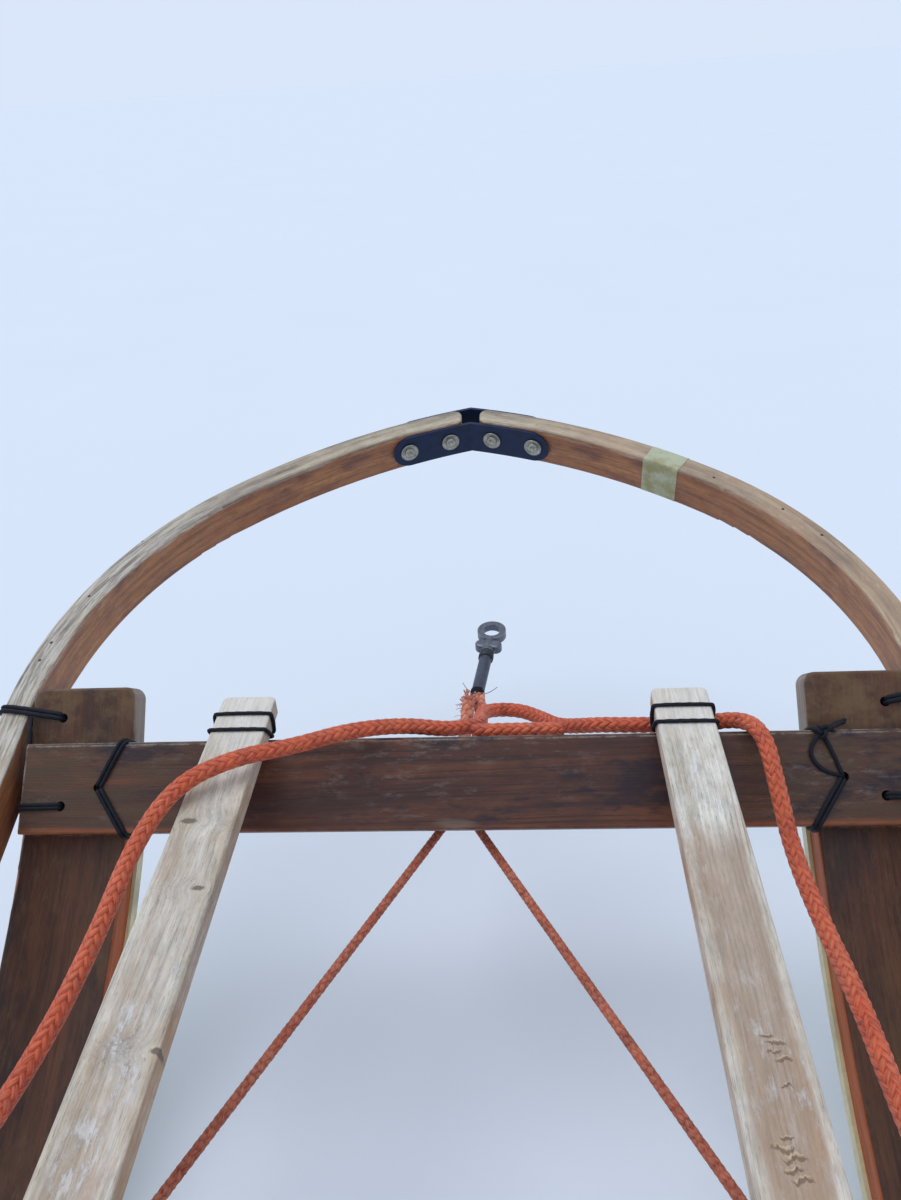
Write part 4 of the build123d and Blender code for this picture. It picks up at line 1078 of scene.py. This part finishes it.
cordKnot = {  # in the crosspiece's frame, on the right
    "radius": 0.0015, "centre": (0.2508, 0.0312, 0.0236), "size": 0.0015, "steps": 18,
    "cords": (  # two arms to the knot and its two tails
        ((263, 0, 10), (262.6, 0.6, 20.3), (261, 4, 21.3), (256.5, 18, 21.4), (252, 28, 21.8),
         (250.6, 31, 22.6)),
        ((263, 0.3, 19), (259, 1, 21.4), (248.5, 4.6, 21.5), (241.2, 14.6, 21.4), (244.6, 24.1, 21.6),
         (249.6, 30.2, 22.8)),
        ((250.4, 31, 23), (255, 33.5, 22.6), (262, 36.5, 17), (268, 39.2, 9.5), (273, 41, 4.2)),
        ((250.4, 30, 23.6), (255, 32, 24.2), (262, 35.4, 19), (267.6, 38, 11.5), (271.6, 39.2, 6.0)),
    ),
}


def movedBy(points, x=0.0, y=0.0, z=0.0):
    return [(alongX + x, alongY + y, alongZ + z) for alongX, alongY, alongZ in points]


def addPair(parts, matrix, points, radius, across):  # two cords side by side
    for side in (-1, 1):
        shift = Vector(across) * side * radius * 1.04
        addCord(parts, [matrix @ (Vector(point) + shift) for point in points], radius)


def addKnot(parts):  # a trefoil, with the cords that lead to it and from it
    radius, centre = cordKnot["radius"], Vector(cordKnot["centre"])
    for points in cordKnot["cords"]:
        addCord(parts, placed(boardFrame, millimetres(points)), radius)
    addCord(parts, placed(boardFrame, mirrored(boardCords["upperArm"])[3:]), boardCords["radius"])
    points = []
    for step in range(cordKnot["steps"]):
        turn = 2 * math.pi * step / cordKnot["steps"]
        x, y = math.sin(turn) + 2 * math.sin(2 * turn), math.cos(turn) - 2 * math.cos(2 * turn)
        points.append(centre + Vector((x, y, -1.2 * math.sin(3 * turn))) * cordKnot["size"])
    addCord(parts, placed(boardFrame, points), radius, closed=True)


def makeCords():
    for side, name in bothSides:
        flip = mirrored if side > 0 else list
        wrap = MeshParts()
        slide = Matrix.Translation((side * slatWrap["slatX"], 0, 0))
        addCord(wrap, placed(bedFrame @ slide, slatWrap["points"]), slatWrap["radius"])
        wrap.build("slat_wrap_" + name, ropes["blackCord"], "cord_black")
        parts = MeshParts()
        radius = boardCords["radius"]
        addPair(parts, boardFrame, flip(boardCords["lowerArm"]), radius, (0.85, 0.5 * -side, 0.0))
        if side < 0:
            addPair(parts, boardFrame, boardCords["upperArm"], radius, (0.88, -0.42, 0.0))
        for key, rise in (("endUp", boardCords["apart"]), ("endDown", -boardCords["apart"])):
            route = flip(boardCords["end"] + boardCords[key])
            addCord(parts, placed(boardFrame, movedBy(route, y=rise)), radius)
        addPair(parts, bowFrame, flip(tipCords["points"]), tipCords["radius"], (0.0, 1.0, 0.0))
        if side > 0:
            addKnot(parts)
        parts.build("front_cords_" + name, ropes["blackCord"], "cord_black")


makeCords()

sweep = {"middle": (-0.15680, -0.16500), "radius": 0.60583, "thickness": 0.022, "height": 0.038}
tape = {"from": 0.1635, "to": 0.1925, "lift": 0.00035, "round": 0.0028, "steps": 12, "slant": 0.10,
        "slantFrom": -0.005, "uneven": 0.0005}


def sweepPlace(distance, side):  # a place on the bow's front sweep, and the normal of its inner face there
    x, y = sweep["middle"]
    reach = sweep["radius"] - sweep["thickness"]
    slope = math.asin((distance - x) / reach)
    sine, cosine = math.sin(slope), math.cos(slope)
    return Vector((side * (x + reach * sine), y + reach * cosine, 0.0)), Vector((-side * sine, -cosine, 0.0))


def tapeOutline():  # a rounded rectangle round the bow's section, along the inner face's normal and up
    lift, corner = tape["lift"], tape["round"]
    high = lift - corner
    left, low = -sweep["thickness"] - lift + corner, -sweep["height"] - lift + corner
    centres = ((high, high), (left, high), (left, low), (high, low))
    outline = []
    for quarter, (alongNormal, alongUp) in enumerate(centres):
        for step in range(6):
            angle = math.pi / 2 * (quarter + step / 5)
            outline.append((alongNormal + corner * math.cos(angle), alongUp + corner * math.sin(angle)))
    return outline


def makeTape():  # a band round the right half of the bow
    parts, outline, last = MeshParts(), tapeOutline(), tape["steps"]
    for step in range(last + 1):
        middle = tape["from"] + (tape["to"] - tape["from"]) * step / last
        for index, (alongNormal, alongUp) in enumerate(outline):
            uneven = tape["uneven"] * math.sin(index * 1.7) if step in (0, last) else 0.0
            distance = middle + uneven + tape["slant"] * max(0.0, alongUp - tape["slantFrom"])
            spot, normal = sweepPlace(distance, 1)
            parts.vertices.append(bowFrame @ (spot + normal * alongNormal + Vector((0, 0, alongUp))))
            parts.lift.append(1.0)
        if step:
            base = (step - 1) * len(outline)
            parts.bridge(base, base + len(outline), len(outline), step - 1, step)
    parts.build("bow_tape", tapeMaterial, "tape")


makeTape()

boltLook = {  # outlines are (radius, height) pairs
    "distances": (0.022, 0.063), "seat": 0.0031, "nutSeat": 0.003,
    "washer": ((0.0088, 0.0), (0.0090, 0.0004), (0.0090, 0.0013), (0.0085, 0.0018), (0.0079, 0.0016),
               (0.0071, 0.0009), (0.0060, 0.0006), (0.0052, 0.0007)),
    "head": ((0.0051, 0.0004), (0.0051, 0.0014), (0.0047, 0.0024), (0.0038, 0.0030), (0.0026, 0.0032),
             (0.0024, 0.0012), (0.0001, 0.0010)),
    "nut": ((0.0058, 0.0), (0.0058, 0.0044), (0.0050, 0.0050), (0.0032, 0.0050)),
    "shank": ((0.0030, 0.0048), (0.0030, 0.0076), (0.0024, 0.0080)),
}


def makeBolts():
    washers, nuts = MeshParts(), MeshParts()
    for side, _ in bothSides:
        for distance in boltLook["distances"]:
            spot, normal = sweepPlace(distance, side)
            origin = bowFrame @ (spot + Vector((0, 0, -sweep["height"] / 2)))
            axis = bowFrame.to_3x3() @ normal
            inner = origin + axis * boltLook["seat"]
            outer = origin - axis * (sweep["thickness"] + boltLook["nutSeat"])
            washers.addRound(inner, axis, boltLook["washer"], 40)
            washers.addRound(inner, axis, boltLook["head"], 24)
            nuts.addRound(outer, -axis, boltLook["nut"], 6)
            nuts.addRound(outer, -axis, boltLook["shank"], 16)
    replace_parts(washers.build("bow_washers", hardware["zinc"], "zinc"), "bow_bolts")
    nuts.build("bow_nuts", hardware["zinc"], "zinc", smooth=False)


makeBolts()
print("stage: cords, tape and bolts ready")

railLash = {  # over the rail and through the stanchion, in the rail's frame at each stanchion
    "offsets": (-0.009, -0.003, 0.003, 0.009),
    "points": millimetres((
        (8, 0, -20), (14.4, 0, -20), (15.6, 0, -17.5), (15.6, 0, -2), (13.6, 0, 4), (13.5, 0, 27),
        (11, 0, 31.4), (-11, 0, 31.4), (-13.5, 0, 27), (-13.6, 0, 4), (-15.6, 0, -2), (-15.6, 0, -17.5),
        (-14.4, 0, -20), (-8, 0, -20),
    )),
}
legLash = {"levels": (0.0560, 0.0592, 0.0624, 0.0656, 0.0688), "x": (0.286, 0.3366), "halfY": 0.0227}
backLash = {"levels": (0.270, 0.545), "legX": 0.300, "half": (0.0125, 0.0145), "rise": 0.016, "fall": 0.004}
lashRadius = 0.0015


def makeHiddenLashings():
    for side, name in bothSides:
        parts = MeshParts()
        for y in stationY:
            height = railStart + (stationY[0] - y) * math.tan(math.radians(railSlope))
            place = tilted((side * postX, y, height), -railSlope)
            for offset in railLash["offsets"]:
                addCord(parts, placed(place, movedBy(railLash["points"], y=offset)), lashRadius)
        low, high = legLash["x"]
        loop = rectangleLoop((high - low) / 2, legLash["halfY"], lashRadius)
        points = turnsAt(((low + high) / 2, stationY[0]), loop, legLash["levels"])
        addCord(parts, mirrored(points) if side < 0 else points, lashRadius)
        for level in backLash["levels"]:  # an X over each end of the backrest rails
            for slant in (-1, 1):
                loop = []
                for x, z in rectangleLoop(*backLash["half"], lashRadius):
                    rise = backLash["rise"] if x * side < 0 else -backLash["fall"]
                    loop.append((side * backLash["legX"] + x, level + slant * rise, z))
                addCord(parts, placed(handleFrame, loop), lashRadius, closed=True)
        parts.build("frame_lashings_" + name, ropes["blackCord"], "cord_black")


screwLook = {  # outlines are (radius, height) pairs
    "slat": ((0.0034, 0.0), (0.0034, 0.0004), (0.0028, 0.0009), (0.0014, 0.0011), (0.0013, 0.0004),
             (0.0001, 0.0003)),
    "pad": ((0.0042, 0.0), (0.0042, 0.0005), (0.0034, 0.0013), (0.0016, 0.0016), (0.0015, 0.0006),
            (0.0001, 0.0005)),
    "coach": ((0.0085, 0.0), (0.0085, 0.0006), (0.0072, 0.0022), (0.0045, 0.0036), (0.0001, 0.0042)),
}
screwPlaces = {
    "slatX": (-0.26325, -0.15795, -0.05265, 0.05265, 0.15795, 0.26325), "slatY": (-0.585, -1.040, -1.490),
    "pad": {"x": 0.287, "apart": 0.027405, "y": -0.8915, "pitch": 0.1047, "rows": 4, "z": 0.034},
    "coach": ((0.265, -0.803758, 0.055), (0.309, -0.803758, 0.055)),
    "bracket": ((0.127, -0.790, 0.059), (0.127, -0.818, 0.059)),
}


def makeScrews():
    parts, pad = MeshParts(), screwPlaces["pad"]
    up = bedFrame.to_3x3() @ Vector((0, 0, 1))
    for y in screwPlaces["slatY"]:
        for x in screwPlaces["slatX"]:
            place = bedFrame @ Vector((x, y / math.cos(math.radians(bedRise)), 0.0))
            parts.addRound(place, up, screwLook["slat"], 20)
    for side in (-1, 1):
        for row in range(pad["rows"]):
            for x in (pad["apart"], -pad["apart"]):
                place = Vector((side * pad["x"] + x, pad["y"] - row * pad["pitch"], pad["z"]))
                parts.addRound(place, (0, 0, 1), screwLook["pad"], 20)
        for x, y, z in screwPlaces["coach"]:
            parts.addRound(Vector((side * x, y, z)), (0, 0, 1), screwLook["coach"], 24)
        for x, y, z in screwPlaces["bracket"]:
            parts.addRound(Vector((side * x, y, z)), (0, 0, 1), screwLook["pad"], 20)
    parts.build("screws", hardware["zinc"], "zinc")


makeHiddenLashings()
makeScrews()
print("stage: hidden fixings ready")

studio = {
    "floor": rgb(221, 231, 246), "sky": rgb(218, 230, 249), "light": rgb(236, 243, 252), "ambient": 0.80,
    "sun": 0.95, "sunFrom": (-0.35, 0.15, 0.92), "sunAngle": 40.0,
}


def makeFloor():
    bpy.ops.mesh.primitive_plane_add(size=200.0, location=(0.0, 0.0, 0.0))
    floor = bpy.context.object
    floor.name = "floor"
    material, nodes, shader = newMaterial("floor", 0.95)
    soft = nodes.noise(nodes.place(), 2.2, 3.0, 0.5)
    nodes.put(nodes.mix(soft, studio["floor"], darkened(studio["floor"], 0.97)), shader.inputs["Base Color"])
    floor.data.materials.append(material)


def makeSky():  # one colour for what is seen and mirrored, another for the light it gives
    world = bpy.data.worlds.new("sky")
    bpy.context.scene.world = world
    world.use_nodes = True
    nodes = Nodes(world.node_tree)
    back = world.node_tree.nodes["Background"]
    nodes.put(studio["light"], back.inputs["Color"])
    nodes.put(studio["ambient"], back.inputs["Strength"])
    seen = nodes.add("Background", {"Color": studio["sky"], "Strength": 1.0})
    path = nodes.add("LightPath").outputs
    visible = nodes.larger(path["Is Camera Ray"], path["Is Glossy Ray"])
    visible = nodes.larger(visible, path["Is Transmission Ray"])
    chosen = nodes.add("MixShader", {0: visible, 1: back.outputs[0], 2: seen.outputs[0]})
    nodes.put(chosen.outputs[0], world.node_tree.nodes["World Output"].inputs["Surface"])


def makeSun():
    lamp = bpy.data.lights.new("soft sun", "SUN")
    lamp.energy = studio["sun"]
    lamp.angle = math.radians(studio["sunAngle"])
    holder = bpy.data.objects.new("soft sun", lamp)
    holder.rotation_euler = Vector(studio["sunFrom"]).to_track_quat("Z", "Y").to_euler()
    bpy.context.collection.objects.link(holder)


makeFloor()
makeSky()
makeSun()
bpy.context.scene.view_settings.view_transform = "Standard"
print("stage: studio ready")
